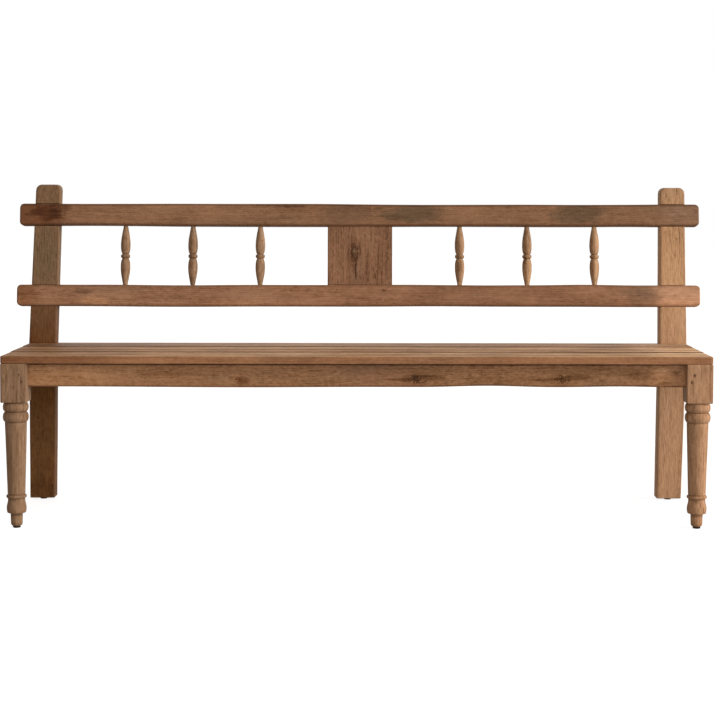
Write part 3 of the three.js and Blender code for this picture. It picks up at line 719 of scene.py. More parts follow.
def bead(low, high, edge, crown, steps=14):
    """A half-round swelling between two heights."""
    middle, half = (low + high) / 2, (high - low) / 2
    turns = [pi * i / steps for i in range(steps + 1)]
    return [(edge + (crown - edge) * sin(turn), middle - half * cos(turn)) for turn in turns]


def line(start, end, steps):
    """Points between two profile points, without the first."""
    shares = [i / steps for i in range(1, steps + 1)]
    return [tuple(a + (b - a) * share for a, b in zip(start, end)) for share in shares]


def in_metres(profile):
    return [mm(*point) for point in profile]


def leg_profile():
    """A peg, a vase, a collar, a long taper and two rings below the block, in millimetres until the end."""
    peg_top, vase_top = 39.5, 74.0
    vase_foot, foot_swell = 23.0, 2.7
    vase_neck, neck_swell = 22.3, 3.4
    belly = vase_top - (vase_top - peg_top) * 0.62
    collar_low, collar_top, collar = 78.0, 87.0, 26.6
    taper_low, taper_top = (23.1, 91.5), (28.4, 274.5)
    rings, groove, ring = ((276.5, 302.5), (303.3, 327.5)), 27.0, 33.6
    block_bottom, neck, inside_block = BLOCK_BOTTOM / MM, 28.8, 336
    steps = 12

    points = [(3, 5), (10, 5), (12.8, 6.2), (14.6, 8.6), (15.2, 11)]
    points += line(points[-1], (16, peg_top), 5)
    for i in range(steps + 1):
        turn = pi / 2 * i / steps
        height = peg_top + (belly - peg_top) * (1 - cos(turn))
        points.append((vase_foot + foot_swell * sin(turn), height))
    for i in range(1, steps + 1):
        swell = (1 + cos(pi * i / steps)) / 2
        points.append((vase_neck + neck_swell * swell, belly + (vase_top - belly) * i / steps))
    points += bead(collar_low, collar_top, vase_neck, collar)
    points += line((vase_neck, collar_top), taper_low, 2)
    points += line(taper_low, taper_top, 24)
    for low, high in rings:
        points += bead(low, high, groove, ring)
    points += [(neck, block_bottom - 0.4), (neck, block_bottom), (neck, inside_block)]
    return in_metres(points)


def spindle_profile():
    """Two long bulbs that meet at a bead, with a tenon at each end, in millimetres until the end."""
    gap = FIT / MM
    low, high = LOWER_RAIL[1] / MM + gap, UPPER_RAIL[0] / MM - gap
    middle = (low + high) / 2 - 2
    bead_low, bead_high = middle - 6, middle + 6
    tenon, tenon_length, shoulder = 5, 14, 0.1
    widest, neck, bead_radius = 13.6, 7.9, 13.3
    neck_length, fullness = 24, 1.2
    low_end, high_end = 6.7, 6.5
    swell_steps, neck_steps = 14, 10

    def bulb(end, neck_height, end_radius):
        way = copysign(1, neck_height - end)
        fullest = neck_height - way * neck_length
        points = []
        for i in range(swell_steps + 1):
            swell = sin(pi / 2 * i / swell_steps) ** fullness
            height = end + (fullest - end) * i / swell_steps
            points.append((end_radius + (widest - end_radius) * swell, height))
        for i in range(1, neck_steps + 1):
            turn = pi / 2 * i / neck_steps
            height = fullest + way * neck_length * sin(turn)
            points.append((neck + (widest - neck) * cos(turn), height))
        return points

    points = [(tenon, low - tenon_length), (tenon, low - shoulder)]
    points += bulb(low, bead_low, low_end)
    points += bead(bead_low, bead_high, neck, bead_radius)[1:-1]
    points += reversed(bulb(high, bead_high, high_end))
    points += [(tenon, high + shoulder), (tenon, high + tenon_length)]
    return in_metres(points)


# Making pieces of the meshes

WEAR_LAYERS = ("edge", "end")
SHARP = radians(38)
SPARE = 10 * MM  # how far a cutter reaches past what it cuts


def link(name, mesh, matrix):
    mesh.transform(matrix)
    return put_in_scene(name, mesh)


def block(span_x, span_y, span_z, matrix):
    """A plain box that only cuts."""
    spans = (span_x, span_y, span_z)
    build = bmesh.new()
    middle = Matrix.Translation(Vector(((a + b) / 2 for a, b in spans)))
    size = Matrix.Diagonal(Vector((*(b - a for a, b in spans), 1)))
    bmesh.ops.create_cube(build, size=1, matrix=matrix @ middle @ size)
    mesh = bpy.data.meshes.new("cutter")
    build.to_mesh(mesh)
    build.free()
    return put_in_scene("cutter", mesh)


def wear_marks(pieces):
    """Where the vertices of some pieces lie, and what their wear layers hold there."""
    marks = []
    for piece in pieces:
        layers = [piece.data.attributes[name].data for name in WEAR_LAYERS]
        for vertex in piece.data.vertices:
            marks.append((vertex.co.copy(), [layer[vertex.index].value for layer in layers]))
    return marks


def combine(piece, others, operation):
    """Cuts the others out of a piece, or joins them to it, and keeps its wear."""
    marks = wear_marks([piece, *others] if operation == "UNION" else [piece])
    tree = kdtree.KDTree(len(marks))
    for index, (place, _) in enumerate(marks):
        tree.insert(place, index)
    tree.balance()
    for other in others:
        modifier = piece.modifiers.new("cut", "BOOLEAN")
        modifier.object = other
        modifier.operation = operation
        modifier.solver = "EXACT"
    view = bpy.context.evaluated_depsgraph_get()
    mesh = bpy.data.meshes.new_from_object(piece.evaluated_get(view))
    nearest = [marks[tree.find(vertex.co)[1]][1] for vertex in mesh.vertices]
    for column, name in enumerate(WEAR_LAYERS):
        if name in mesh.attributes:
            mesh.attributes.remove(mesh.attributes[name])
        layer = mesh.attributes.new(name, "FLOAT", "POINT")
        for vertex in mesh.vertices:
            layer.data[vertex.index].value = nearest[vertex.index][column]
    piece.modifiers.clear()
    piece.data = mesh
    for other in others:
        bpy.data.objects.remove(other)


def finish_piece(piece, matrix, axes, material, node):
    """Stores the grain's coordinates, smooths the shading, and ties the piece to the CAD."""
    mesh = piece.data
    back = matrix.inverted()
    layer = mesh.attributes.new("grain", "FLOAT_VECTOR", "POINT")
    for vertex in mesh.vertices:
        local = back @ vertex.co
        layer.data[vertex.index].vector = [local.dot(axis) for axis in axes]
    for polygon in mesh.polygons:
        polygon.use_smooth = True
    mesh.set_sharp_from_angle(angle=SHARP)
    mesh.materials.clear()
    mesh.materials.append(material)
    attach(piece, BODY)
    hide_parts(node)


# Seat boards, front to back

BOARD_TONES = {
    "seat_board_front": srgb(144, 100, 69),
    "seat_board_second": srgb(168, 133, 101),
    "seat_board_middle": srgb(162, 126, 96),
    "seat_board_fourth": srgb(166, 130, 98),
    "seat_board_rear": srgb(138, 106, 80),
}
REAR_BOARDS = list(BOARD_TONES)[1:]
BOARD_DROPS = mm(0.3, 1.4, 0.5, 0.9, 0.1)  # below the CAD's tops, from shrinking
BOARD_ENDS = mm(2, 1.3)
FRONT_BOARD_ENDS = mm(7, 3.5)
POST_GAP = 0.8 * MM
PAINTED_TOP_DEPTH = 0.35 * MM  # how deep the painted light on the top reaches
BOARD_LOOK = {"streaks": (3.2, 34, 2.0), "mottle": (60, 120, 1.8), "grime": 0.95}
FRONT_BOARD_LOOK = {"streaks": (1.6, 32, 0.9), "mottle": (80, 130, 1.2), "grime": 0, "flecks": 0.1, "wear": 0}
# Painted light and sheen on the boards' tops
PAINTED_TOP_LIGHT = (1.27, 1.22, 1.13)
PAINTED_FRONT_TOP_LIGHT = (1.7, 2.13, 2.25)
LEFT_TINT = (0.66, 0.61, 0.56)
# A painted pool of light at the seat's right end
PAINTED_RIGHT_LIGHT = (1.75, 1.92, 2.15)
JOINT_DIRT_AND_SHADE_TINT = (0.42, 0.35, 0.3)
JOINT_DIRT_AND_SHADE_WIDTHS = mm(8, 4, 9, 3)  # how wide the dirt and painted shade lie beside each joint


def board_look(index, low, high, top):
    """A seat board's wood: painted light on top, dirt and painted shade at its joints, darker at the left,
    and painted light at the right end.
    """
    middle, width = (low.y + high.y) / 2, high.y - low.y
    pale_y, pale_width = (low.y + 42 * MM, 26 * MM) if index == 0 else (middle, width)
    stains = [
        ((-0.85, middle), (0.24, 0.2), LEFT_TINT, 0.7, 0.7),
        # Painted light at the board's right end
        ((0.87, pale_y), (0.11, pale_width), PAINTED_RIGHT_LIGHT, 0.7, 0.6),
    ]
    # Dirt and painted shade of the gaps beside each joint
    for y, joint in ((low.y, index - 1), (high.y, index)):
        if 0 <= joint < len(JOINT_DIRT_AND_SHADE_WIDTHS):
            stains.append(((0, y), (4, JOINT_DIRT_AND_SHADE_WIDTHS[joint]), JOINT_DIRT_AND_SHADE_TINT, 0.7))
    look = FRONT_BOARD_LOOK if index == 0 else BOARD_LOOK
    paler = PAINTED_FRONT_TOP_LIGHT if index == 0 else PAINTED_TOP_LIGHT
    return {"stains": stains, "painted_top_light": (top - PAINTED_TOP_DEPTH, paler), **look}


def post_cutters(back):
    """Cutters for the room that the two posts take in a board."""
    cutters = []
    for sign in SIDES.values():
        ends = sorted((sign * (SEAT_END - POST_WIDTHS[1] - POST_GAP), sign * (SEAT_END + POST_GAP)))
        heights = (FRAME_TOP - SPARE, KNEE_Z + SPARE)
        cutters.append(block(ends, (KNEE_Y - POST_GAP, back + POST_GAP), heights, SEAT_FRAME))
    return cutters


def make_boards():
    for index, (name, tone) in enumerate(BOARD_TONES.items()):
        low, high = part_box(name)
        seed = index + 2
        thick = high.z - low.z - BOARD_DROPS[index]
        size = ((low.y + high.y) / 2, low.z + thick / 2, (high.y - low.y) / 2, thick / 2)
        ends = FRONT_BOARD_ENDS if index == 0 else BOARD_ENDS
        span = (low.x, high.x)
        mesh = timber(BOARD_X, span, lambda place: size, BOARD_AGE, seed, ends)
        piece = link(name + "_worn", mesh, IN_PLACE)
        if high.y > KNEE_Y:
            combine(piece, post_cutters(high.y), "DIFFERENCE")
        material = wood(name, tone, seed, **board_look(index, low, high, low.z + thick))
        finish_piece(piece, IN_PLACE, BOARD_X, material, name)


# Screws, nails and their holes, along Z from the head's face

SCREW_PROFILE = (
    (SCREW_HEAD[0] * 0.92, 0.0),
    (SCREW_HEAD[0], 0.25 * MM),
    (SCREW_RADIUS, SCREW_HEAD[1]),
    (SCREW_RADIUS, SCREW_LENGTH - 6 * MM),
    (0.3 * MM, SCREW_LENGTH),
)


def nail_profile(length):
    return (
        (NAIL_RADIUS * 0.75, 0.75 * MM),
        (NAIL_RADIUS, 1.0 * MM),
        (NAIL_RADIUS, length - 4 * MM),
        (0.2 * MM, length),
    )


INWARDS = Matrix.Rotation(-pi / 2, 4, "X")
LEG_NAIL = nail_profile(LEG_NAIL_LENGTH)
PANEL_NAIL = nail_profile(PANEL_NAIL_LENGTH)


def pin_hole(profile, matrix):
    """A cutter for the hole that a pin fits, open at the pin's head."""
    grown = [(radius + FIT, height) for radius, height in profile]
    grown[-1] = (profile[-1][0], profile[-1][1] + FIT)
    grown.insert(0, (grown[0][0] + 0.5 * MM, -2 * MM))
    return link("cutter", turning(grown, HOLE_SIDES, PIN_SEED), matrix)


def box_middle(name):
    return tuple((low + high) / 2 for low, high in zip(*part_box(name)))


def upright_spot(name):
    """The middle of a CAD node's underside."""
    x, y, _ = box_middle(name)
    return Matrix.Translation((x, y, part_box(name)[0].z))


def rail_screw_spot(name):
    heights = LOWER_RAIL if name.startswith("lower") else UPPER_RAIL
    place = (box_middle(name)[0] - PANEL_MIDDLE, POST_DEPTH * cos(RAKE), sum(heights) / 2)
    return RAKED @ Matrix.Translation(place) @ Matrix.Rotation(pi / 2, 4, "X")


def leg_nail_spot(name):
    x, _, z = box_middle(name)
    return Matrix.Translation((x, LEG_Y - BLOCK_SIDE / 2, z)) @ INWARDS


def panel_nail_spot(name):
    spot = RAKED.inverted() @ Vector(box_middle(name))
    return RAKED @ Matrix.Translation((spot.x, RAIL_FRONT, spot.z)) @ INWARDS


# Aprons and battens

# A pixel of the photograph, half the length and width in millimetres, a tint, and how ragged and soft the
# rim is
APRON_STAINS = {
    "left knot": ((243, 381), (16, 11), (0.62, 0.54, 0.46), 2.2),
    "middle knot, left tail": ((400, 379.8), (38, 4), (0.6, 0.52, 0.42), 2.0),
    "middle knot, right tail": ((428, 377.6), (44, 7), (0.56, 0.52, 0.44), 1.8),
    "middle knot, shade": ((432, 371), (80, 13), (0.82, 0.82, 0.8), 1.0),
    "right knot, left tail": ((547, 379.8), (38, 4), (0.6, 0.52, 0.42), 2.0),
    "right knot, right tail": ((576, 377.6), (44, 7), (0.56, 0.52, 0.44), 1.8),
    "right knot, shade": ((596, 371), (140, 14), (0.8, 0.8, 0.78), 1.0),
    "dark right": ((640, 375), (34, 14), (0.78, 0.72, 0.66), 1.2),
    "dark edge": ((505, 380), (80, 9), (0.84, 0.8, 0.76), 1.6),
    "grey middle": ((375, 372), (90, 40), (0.84, 0.83, 0.88), 0.9, 0.7),
    "left streak": ((165, 374), (70, 5), (0.76, 0.7, 0.64), 2.2),
    "pale left": ((60, 378), (110, 30), (1.14, 1.14, 1.12), 0.8),
    # Painted light on the apron's right end
    "painted light at the right end": ((668, 376), (46, 40), (1.45, 1.46, 1.48), 0.9),
    "right spot": ((676, 373), (10, 5), (0.6, 0.55, 0.5), 2.0),
    "right edge spot": ((664, 384), (18, 4), (0.66, 0.62, 0.58), 2.0),
}
APRON_KNOTS = {
    "left": ((238, 378.5), (9, 6), (0.6, 0.52, 0.46)),
    "middle": ((415.5, 379.5), (18, 10), (0.38, 0.34, 0.28)),
    "right": ((562.5, 379.5), (18, 10), (0.36, 0.32, 0.26)),
}
# A pixel, then the length, half the width and how far the crack wanders, in millimetres
APRON_CRACKS_AND_SHADOW_LINES = {
    # The first two are painted shadow: the dark line under the seat's overhang, drawn as cracks
    "joint": ((365, 364.6), (2600, 2.6, 5)),
    "left end": ((37, 364), (60, 3, 3)),
    "middle": ((315, 371), (60, 1.6, 5)),
    "middle knot": ((424, 376), (90, 1.6, 6)),
}
# Where the lower edge rises: a pixel, how far the wave reaches, and its height
APRON_WAVES = {
    "left": ((230, 384), 0.42, -1.5 * MM),
    "middle": ((487, 384), 0.17, 3.4 * MM),
    "right": ((618, 384), 0.15, 1.9 * MM),
}
APRON_TONE = srgb(141, 101, 70)
HIDDEN_TONE = srgb(140, 106, 78)
FRONT_TENON, REAR_TENON, SIDE_TENON = mm(21, 25, 22)


def bar_node(name, axes, tone, seed, trim=0.0, features=None, waves=(), holes=()):
    """A straight bar that fills a CAD node's box, less its tenons at both ends and its holes."""
    low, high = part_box(name)
    along, across, depth = (sorted((low.dot(axis), high.dot(axis))) for axis in axes)
    span = (along[0] + trim, along[1] - trim)
    mesh = timber(axes, span, wandering(across, depth, waves), BAR_AGE, seed)
    piece = link(name + "_worn", mesh, IN_PLACE)
    if holes:
        combine(piece, holes, "DIFFERENCE")
    finish_piece(piece, IN_PLACE, axes, wood(name, tone, seed, **(features or {})), name)


def make_aprons():
    face = (IN_PLACE, ALONG_X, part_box("front_apron")[0].y)
    features = {
        "stains": from_photo(APRON_STAINS, face),
        "knots": from_photo(APRON_KNOTS, face),
        "cracks": from_photo(APRON_CRACKS_AND_SHADOW_LINES, face),
        "grime": 0.6,
        "mottle": (70, 140, 2.0),
        "patches": (7, 15, 0.55),
    }
    waves = [(on_face(*pixel, *face)[0], *size) for pixel, *size in APRON_WAVES.values()]
    bar_node("front_apron", ALONG_X, APRON_TONE, 11, FRONT_TENON, features, waves)
    bar_node("rear_apron", ALONG_X, HIDDEN_TONE, 12, REAR_TENON)
    for seed, side in enumerate(SIDES, start=13):
        bar_node(f"side_apron_{side}", ALONG_Y, HIDDEN_TONE, seed, SIDE_TENON)
    for seed, side in enumerate(("left", "middle", "right"), start=15):
        spots = [upright_spot(f"{board}_screw_{side}") for board in REAR_BOARDS]
        holes = [pin_hole(SCREW_PROFILE, spot) for spot in spots]
        bar_node(f"seat_batten_{side}", BATTEN_Y, HIDDEN_TONE, seed, holes=holes)


# Back posts

# Marks by their height and their place along the bench, in metres
LEFT_POST_STAINS = {
    # Darker and warmer near and below the seat: partly wood colour, partly painted shade under the seat
    "warm lower half": ((0.2, -0.885), (0.3, 0.2), (1.0, 0.76, 0.47), 0.5),
    "above the seat": ((0.5, -0.88), (0.09, 0.2), (0.7, 0.62, 0.56), 0.6),
    "painted shade below the seat": ((0.36, -0.88), (0.11, 0.2), (0.8, 0.73, 0.6), 0.6, 0.6),
    "dirty foot": ((0.03, -0.89), (0.03, 0.05), (0.7, 0.66, 0.62), 2.4),
    "between the rails": ((0.7, -0.87), (0.07, 0.03), (0.82, 0.86, 0.9), 1.6),
}
RIGHT_POST_STAINS = {
    "pale upper half": ((0.7, 0.88), (0.16, 0.2), (1.18, 1.14, 1.05), 0.5),
    "pale lower half": ((0.2, 0.88), (0.24, 0.2), (1.2, 1.14, 1.12), 0.5),
}
RIGHT_POST_CRACKS = {
    "in the top": ((0.875, 0.895), mm(30, 1.4, 4)),
    "below the upper rail": ((0.75, 0.9), mm(60, 1.2, 6)),
}
POST_ENDS = (POST_CORNER, 3 * MM)
FOOT_ROUNDING = 2 * MM


def post_front(z):
    if z < KNEE_Z:
        return KNEE_Y + (KNEE_Z - z) * FOOT_SLOPE
    return KNEE_Y + (z - KNEE_Z) * tan(RAKE)


def post_width(z):
    foot, knee, top = POST_WIDTHS
    if z < KNEE_Z:
        return knee + (foot - knee) * (KNEE_Z - z) / (KNEE_Z - POST_FOOT_Z)
    return knee + (top - knee) * (z - KNEE_Z) / (POST_TOP_Z - KNEE_Z)


def lap_boxes():
    """Cutters for the rails' laps, far longer than a post is wide."""
    spans = [(low - FIT, high + FIT) for low, high in (LOWER_RAIL, UPPER_RAIL)]
    return [block((-1, 1), (-SPARE, LAP_DEPTH), span, RAKED) for span in spans]


def make_post(side, tone, seed, features):
    """A bent post with a square foot and a rounded top."""
    sign = SIDES[side]
    top = POST_TOP_Z - (RIGHT_POST_DROP if side == "right" else 0)
    lean = tan(LEFT_POST_LEAN) if side == "left" else 0

    def size_at(z):
        width = post_width(z)
        middle = sign * (SEAT_END - width / 2 - (z - KNEE_Z) * lean)
        to_foot = z - POST_FOOT_Z
        give_back = rounding(to_foot, POST_CORNER)
        trim = rounding(to_foot, FOOT_ROUNDING)
        return (middle, post_front(z) + POST_DEPTH / 2, width / 2 + give_back - trim, POST_DEPTH / 2)

    mesh = timber(UPRIGHT, (POST_FOOT_Z, top), size_at, POST_AGE, seed, POST_ENDS)
    name = f"back_post_{side}"
    piece = link(name + "_worn", mesh, SEAT_FRAME)
    spots = [rail_screw_spot(f"{rail}_rail_screw_{side}") for rail in ("lower", "upper")]
    combine(piece, lap_boxes() + [pin_hole(SCREW_PROFILE, spot) for spot in spots], "DIFFERENCE")
    finish_piece(piece, SEAT_FRAME, UPRIGHT, wood(name, tone, seed, **features), name)


def make_posts():
    left = {
        "stains": LEFT_POST_STAINS.values(),
        "lines": 0.8,
        "patches": (3, 14, 0.5),
        "rings": 0.12,
        "pith": (0.42, -0.8, 0.22),
        "arch": 0.1,
    }
    right = {
        "stains": RIGHT_POST_STAINS.values(),
        "cracks": RIGHT_POST_CRACKS.values(),
        "lines": 1.0,
        "patches": (3, 20, 0.7),
        "mottle": (16, 140, 0.6),
        "grey": 0.2,
    }
    make_post("left", srgb(114, 86, 61), 21, left)
    make_post("right", srgb(169, 131, 99), 22, right)


# Rails. Their marks are given as the apron's are, and their waves by their places along the rail.

UPPER_RAIL_STAINS = {
    "burl": ((36, 214), (76, 60), (0.64, 0.5, 0.4), 1.3),
    "burl core": ((48, 213), (40, 22), (0.52, 0.46, 0.4), 3.0),
    "burl, left eye": ((40, 209), (16, 12), (0.84, 0.76, 0.7), 2.2),
    "burl, right eye": ((52, 217), (18, 10), (0.8, 0.72, 0.62), 2.4),
    "burl rim": ((60, 208), (30, 12), (0.6, 0.52, 0.46), 2.6),
    "panel, left": ((345, 214), (70, 26), (0.76, 0.78, 0.8), 1.4),
    "panel, right": ((412, 213), (84, 26), (0.54, 0.61, 0.62), 1.3),
    "dark right": ((578, 214), (66, 26), (0.58, 0.66, 0.68), 1.3),
    "edge streak": ((292, 206), (34, 4), (0.5, 0.45, 0.4), 2.2),
    # Painted light on the rail's right end
    "painted light at the right end": ((685, 216), (60, 40), (1.2, 1.25, 1.34), 0.8),
}
UPPER_LOW_WAVES = (mm(-740, 260, 1.8), mm(-100, 400, -0.9), mm(740, 140, 0.9))
UPPER_HIGH_WAVES = (mm(180, 300, -1.8), mm(600, 340, -1.3))
LOWER_RAIL_STAINS = {
    "dark left": ((24, 294), (36, 60), (0.76, 0.66, 0.56), 0.9),
    "dark right": ((470, 296), (360, 80), (0.81, 0.8, 0.8), 0.9, 0.8),
    # Painted light on the rail's right end
    "painted light at the right end": ((682, 296), (74, 60), (1.75, 1.8, 1.85), 0.9),
    "dark beside it": ((640, 296), (40, 30), (0.8, 0.84, 0.88), 1.6),
    "pale patch": ((93, 300), (36, 14), (1.25, 1.25, 1.2), 1.6),
    "streak above it": ((84, 291), (26, 8), (0.7, 0.68, 0.66), 2.4),
    "nail": ((384, 290.6), (5, 4), (0.6, 0.55, 0.5), 0.8),
}
LOWER_LOW_WAVES = (mm(-500, 260, -1.1), mm(260, 300, 1.1))
LOWER_HIGH_WAVES = (mm(-500, 240, -1.2), mm(150, 140, 1.2), mm(360, 100, -0.7), mm(630, 160, 1.4))
RAIL_ENDS = mm(12, 4)
NOTCH_BACK = 40 * MM
NOTCH_HALF_HEIGHT = 50 * MM


def post_notch(side, heights):
    """The notch in a rail's back that a post fits, leaning with the post."""
    sign = SIDES[side]
    lean = LEFT_POST_LEAN if side == "left" else 0
    middle_z = sum(heights) / 2
    height = KNEE_Z + middle_z * cos(RAKE)
    half = post_width(height) / 2
    middle = SEAT_MIDDLE - PANEL_MIDDLE + sign * (SEAT_END - half - (height - KNEE_Z) * tan(lean))
    tilt = Matrix.Translation((middle, 0, middle_z)) @ Matrix.Rotation(-sign * lean, 4, "Y")
    span = (-half - 2 * FIT, half + 2 * FIT)
    return block(span, (LAP_DEPTH - FIT, NOTCH_BACK), (-NOTCH_HALF_HEIGHT, NOTCH_HALF_HEIGHT), RAKED @ tilt)


def make_rail(name, heights, tone, seed, stains, grime, low_waves, high_waves):
    size_at = wandering(heights, (RAIL_FRONT, RAIL_BACK), low_waves, high_waves)
    span = tuple(corner.x - PANEL_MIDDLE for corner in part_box(name))
    mesh = timber(ALONG_X, span, size_at, RAIL_AGE, seed, RAIL_ENDS)
    piece = link(name + "_worn", mesh, RAKED)
    cutters = [post_notch(side, heights) for side in SIDES]
    if name == "lower_rail":
        spots = [panel_nail_spot(f"panel_nail_{side}") for side in SIDES]
        cutters += [pin_hole(PANEL_NAIL, spot) for spot in spots]
    combine(piece, cutters, "DIFFERENCE")
    placed = from_photo(stains, (RAKED, ALONG_X, RAIL_FRONT))
    material = wood(name, tone, seed, placed, grime=grime)
    finish_piece(piece, RAKED, ALONG_X, material, name)


def make_rails():
    upper, lower = srgb(130, 94, 68), srgb(147, 106, 78)
    waves = (UPPER_LOW_WAVES, UPPER_HIGH_WAVES)
    make_rail("upper_rail", UPPER_RAIL, upper, 31, UPPER_RAIL_STAINS, 0.7, *waves)
    waves = (LOWER_LOW_WAVES, LOWER_HIGH_WAVES)
    make_rail("lower_rail", LOWER_RAIL, lower, 32, LOWER_RAIL_STAINS, 0.45, *waves)


# Middle panel and spindles

PANEL_KNOTS = {"eye": ((354.5, 252.5), (21, 10), (0.44, 0.4, 0.35), (0.74, 0.84, 0.86))}
PANEL_STAINS = {
    "low on the right": ((375, 276), (9, 3), (0.66, 0.6, 0.54), 1.6),
    "below the knot": ((352, 262), (26, 10), (0.84, 0.8, 0.77), 2.4),
}
PANEL_CRACKS = {
    "below the knot": ((355.5, 270), (70, 3.2, 10)),
    "right of the knot": ((360, 248), (44, 1.8, 8)),
    "left of the knot": ((348, 254), (34, 1.6, 6)),
    "low on the right": ((368, 279), (16, 1.6, 8)),
}
PANEL_ENDS = mm(0.4, 0.4)
PANEL_COUNTS = (8, 2)  # parts of its flat width and thickness
PANEL_LOOK = {"contrast": 1.15, "lines": 0.9, "mottle": (80, 170, 2.0), "grime": 0.4}
SPINDLE_TONES = {"left": srgb(133, 103, 78), "right": srgb(156, 120, 89)}
SPINDLE_PITH = (0, 4 * MM, 12 * MM)
SPINDLE_LOOK = {"contrast": 1.3, "patches": (6, 40, 1.1), "lines": 0.8, "grey": 0.35, "pith": SPINDLE_PITH}


def make_panel():
    name, seed = "middle_panel", 41
    half = PANEL_THICKNESS / 2
    size = (0, RAIL_MIDDLE_Y, PANEL_HALF, half)
    span = (LOWER_RAIL[1] + FIT, UPPER_RAIL[0] - FIT)
    mesh = timber(UPRIGHT, span, lambda place: size, PANEL_AGE, seed, PANEL_ENDS, PANEL_COUNTS)
    piece = link(name + "_worn", mesh, RAKED)
    face = (RAKED, UPRIGHT, RAIL_MIDDLE_Y - half)
    marks = [from_photo(table, face) for table in (PANEL_STAINS, PANEL_KNOTS, PANEL_CRACKS)]
    material = wood(name, srgb(124, 88, 64), seed, *marks, **PANEL_LOOK)
    finish_piece(piece, RAKED, UPRIGHT, material, name)


def make_spindles():
    for side, sign in SIDES.items():
        for index, x in SPINDLE_XS.items():
            name = f"spindle_{side}_{index}"
            seed = 50 + sign * index
            matrix = RAKED @ Matrix.Translation((sign * x, RAIL_MIDDLE_Y, 0))
            piece = link(name + "_turned", turning(spindle_profile(), SPINDLE_SIDES, seed), matrix)
            material = wood(name, SPINDLE_TONES[side], seed, **SPINDLE_LOOK)
            finish_piece(piece, matrix, UPRIGHT, material, name)


# Front legs

LEG_PITH = (0, 10 * MM, 30 * MM)
LEG_LOOK = {"patches": (3, 22, 0.5), "lines": 1.1, "mottle": (36, 130, 1.3), "grey": 0.3, "pith": LEG_PITH}
RUST_SIZE = mm(5, 3.6)


def make_leg(side, tone, seed, rust, stains=(), cracks=()):
    sign = SIDES[side]
    name = f"front_leg_{side}"
    matrix = Matrix.Translation((SEAT_MIDDLE + sign * LEG_X, LEG_Y, 0))
    size = (0, 0, BLOCK_SIDE / 2, BLOCK_SIDE / 2)
    span = (BLOCK_BOTTOM, FRAME_TOP)
    mesh = timber(UPRIGHT, span, lambda place: size, BLOCK_AGE, seed)
    piece = link(name + "_turned", mesh, matrix)
    combine(piece, [link("turned", turning(leg_profile(), LEG_SIDES, seed), matrix)], "UNION")
    spots = [leg_nail_spot(f"leg_nail_{level}_{side}") for level in ("upper", "lower")]
    combine(piece, [pin_hole(LEG_NAIL, spot) for spot in spots], "DIFFERENCE")
    places = [matrix.inverted() @ spot.translation for spot in spots]
    rusts = [((place.z, place.x), RUST_SIZE, rust) for place in places]
    material = wood(name, tone, seed, [*stains, *rusts], (), cracks, **LEG_LOOK)
    finish_piece(piece, matrix, UPRIGHT, material, name)


def make_legs():
    dull_shaft = ((0.15, 0), (0.16, 0.1), (0.94, 0.93, 0.92), 0.5)
    block_crack = ((0.385, 20 * MM), mm(30, 1.6, 6))
    make_leg("left", srgb(131, 101, 76), 61, (0.8, 0.76, 0.72), [dull_shaft], [block_crack])
    make_leg("right", srgb(165, 125, 93), 62, (0.5, 0.44, 0.4))


# Fixings and glides

GLIDE_FOOT = [(8.6, 0), (9.3, 0.3), (9.9, 1.1), (10.3, 2.5), (9.9, 3.9), (9.3, 4.7), (8.9, 5)]
GLIDE_PIN = [(1.5, 5), (1.5, 20), (0.3, 23)]
GLIDE = in_metres(GLIDE_FOOT + GLIDE_PIN)
RECESS_REACH = mm(-2.4, 2.4)
RECESS_WIDTH = mm(-0.45, 0.45)
RECESS_DEPTH = mm(-1, 1.1)


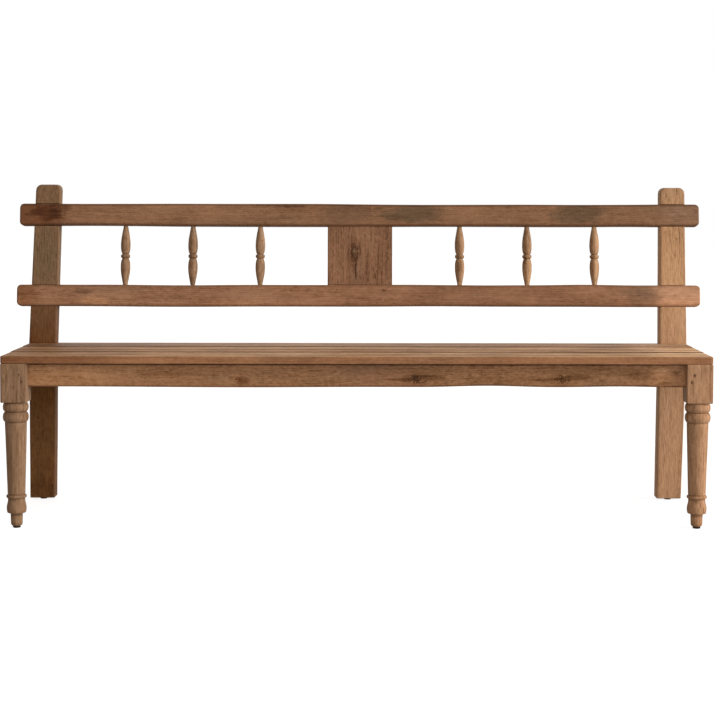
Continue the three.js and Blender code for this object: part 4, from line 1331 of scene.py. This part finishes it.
def cloudy(name, colour, roughness, metallic, specular=0.5):
    """A plain, faintly cloudy material for metal, plastic and hidden wood."""
    material = bpy.data.materials.new(name)
    n = Nodes(material)
    place = n.add("TexCoord").outputs["Object"]
    cloud = n.noise(place, (400, 400, 400), 3)
    stops = ((0.3, tinted(colour, 0.6, 0.1)), (0.55, colour), (0.8, tinted(colour, 1.3)))
    inputs = {
        "Base Color": n.ramp(cloud, stops),
        "Roughness": n.math("MULTIPLY_ADD", cloud, 0.3, roughness - 0.15, clamp=True),
        "Metallic": metallic,
        "Specular IOR Level": specular,
        "Normal": n.bump(cloud, 0.2, 0.2 * MM),
    }
    shader = n.add("BsdfPrincipled", inputs)
    n.add("OutputMaterial", {"Surface": shader.outputs[0]})
    return material


def add_pin(name, profile, sides, seed, spot, material):
    """A turned pin or glide in a CAD node's place. A screw's head gets a cross recess."""
    piece = link(name + "_turned", turning(profile, sides, seed), IN_PLACE)
    if profile is SCREW_PROFILE:
        slots = [
            block(RECESS_REACH, RECESS_WIDTH, RECESS_DEPTH, IN_PLACE),
            block(RECESS_WIDTH, RECESS_REACH, RECESS_DEPTH, IN_PLACE),
        ]
        combine(piece, slots, "DIFFERENCE")
    piece.data.transform(spot)
    finish_piece(piece, spot, UPRIGHT, material, name)


def make_fixings():
    """Screws, nails and glides. The dowels keep their CAD meshes, since the wood hides them."""
    steel = cloudy("screw_steel", srgb(128, 122, 112), 0.5, 0.9)
    dark = cloudy("nail_steel", srgb(50, 42, 36), 0.65, 0.7)
    plastic = cloudy("glide_plastic", srgb(38, 26, 18), 0.6, 0.0, 0.08)
    plain = cloudy("dowel_wood", srgb(150, 116, 86), 0.7, 0.0, 0.08)
    for name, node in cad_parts.items():
        if "rail_screw" in name:
            add_pin(name, SCREW_PROFILE, SCREW_SIDES, PIN_SEED, rail_screw_spot(name), steel)
        elif "screw" in name:
            add_pin(name, SCREW_PROFILE, SCREW_SIDES, PIN_SEED, upright_spot(name), steel)
        elif "leg_nail" in name:
            add_pin(name, LEG_NAIL, NAIL_SIDES, PIN_SEED, leg_nail_spot(name), dark)
        elif "panel_nail" in name:
            add_pin(name, PANEL_NAIL, NAIL_SIDES, PIN_SEED, panel_nail_spot(name), dark)
        elif "glide" in name:
            add_pin(name, GLIDE, GLIDE_SIDES, GLIDE_SEED, upright_spot(name), plastic)
        elif "dowel" in name:
            for slot in node.material_slots:
                slot.material = plain


bpy.context.scene.view_settings.view_transform = "Standard"
make_camera()
make_lights()
make_world()
make_floor()
make_boards()
make_aprons()
make_posts()
make_rails()
make_panel()
make_spindles()
make_legs()
make_fixings()
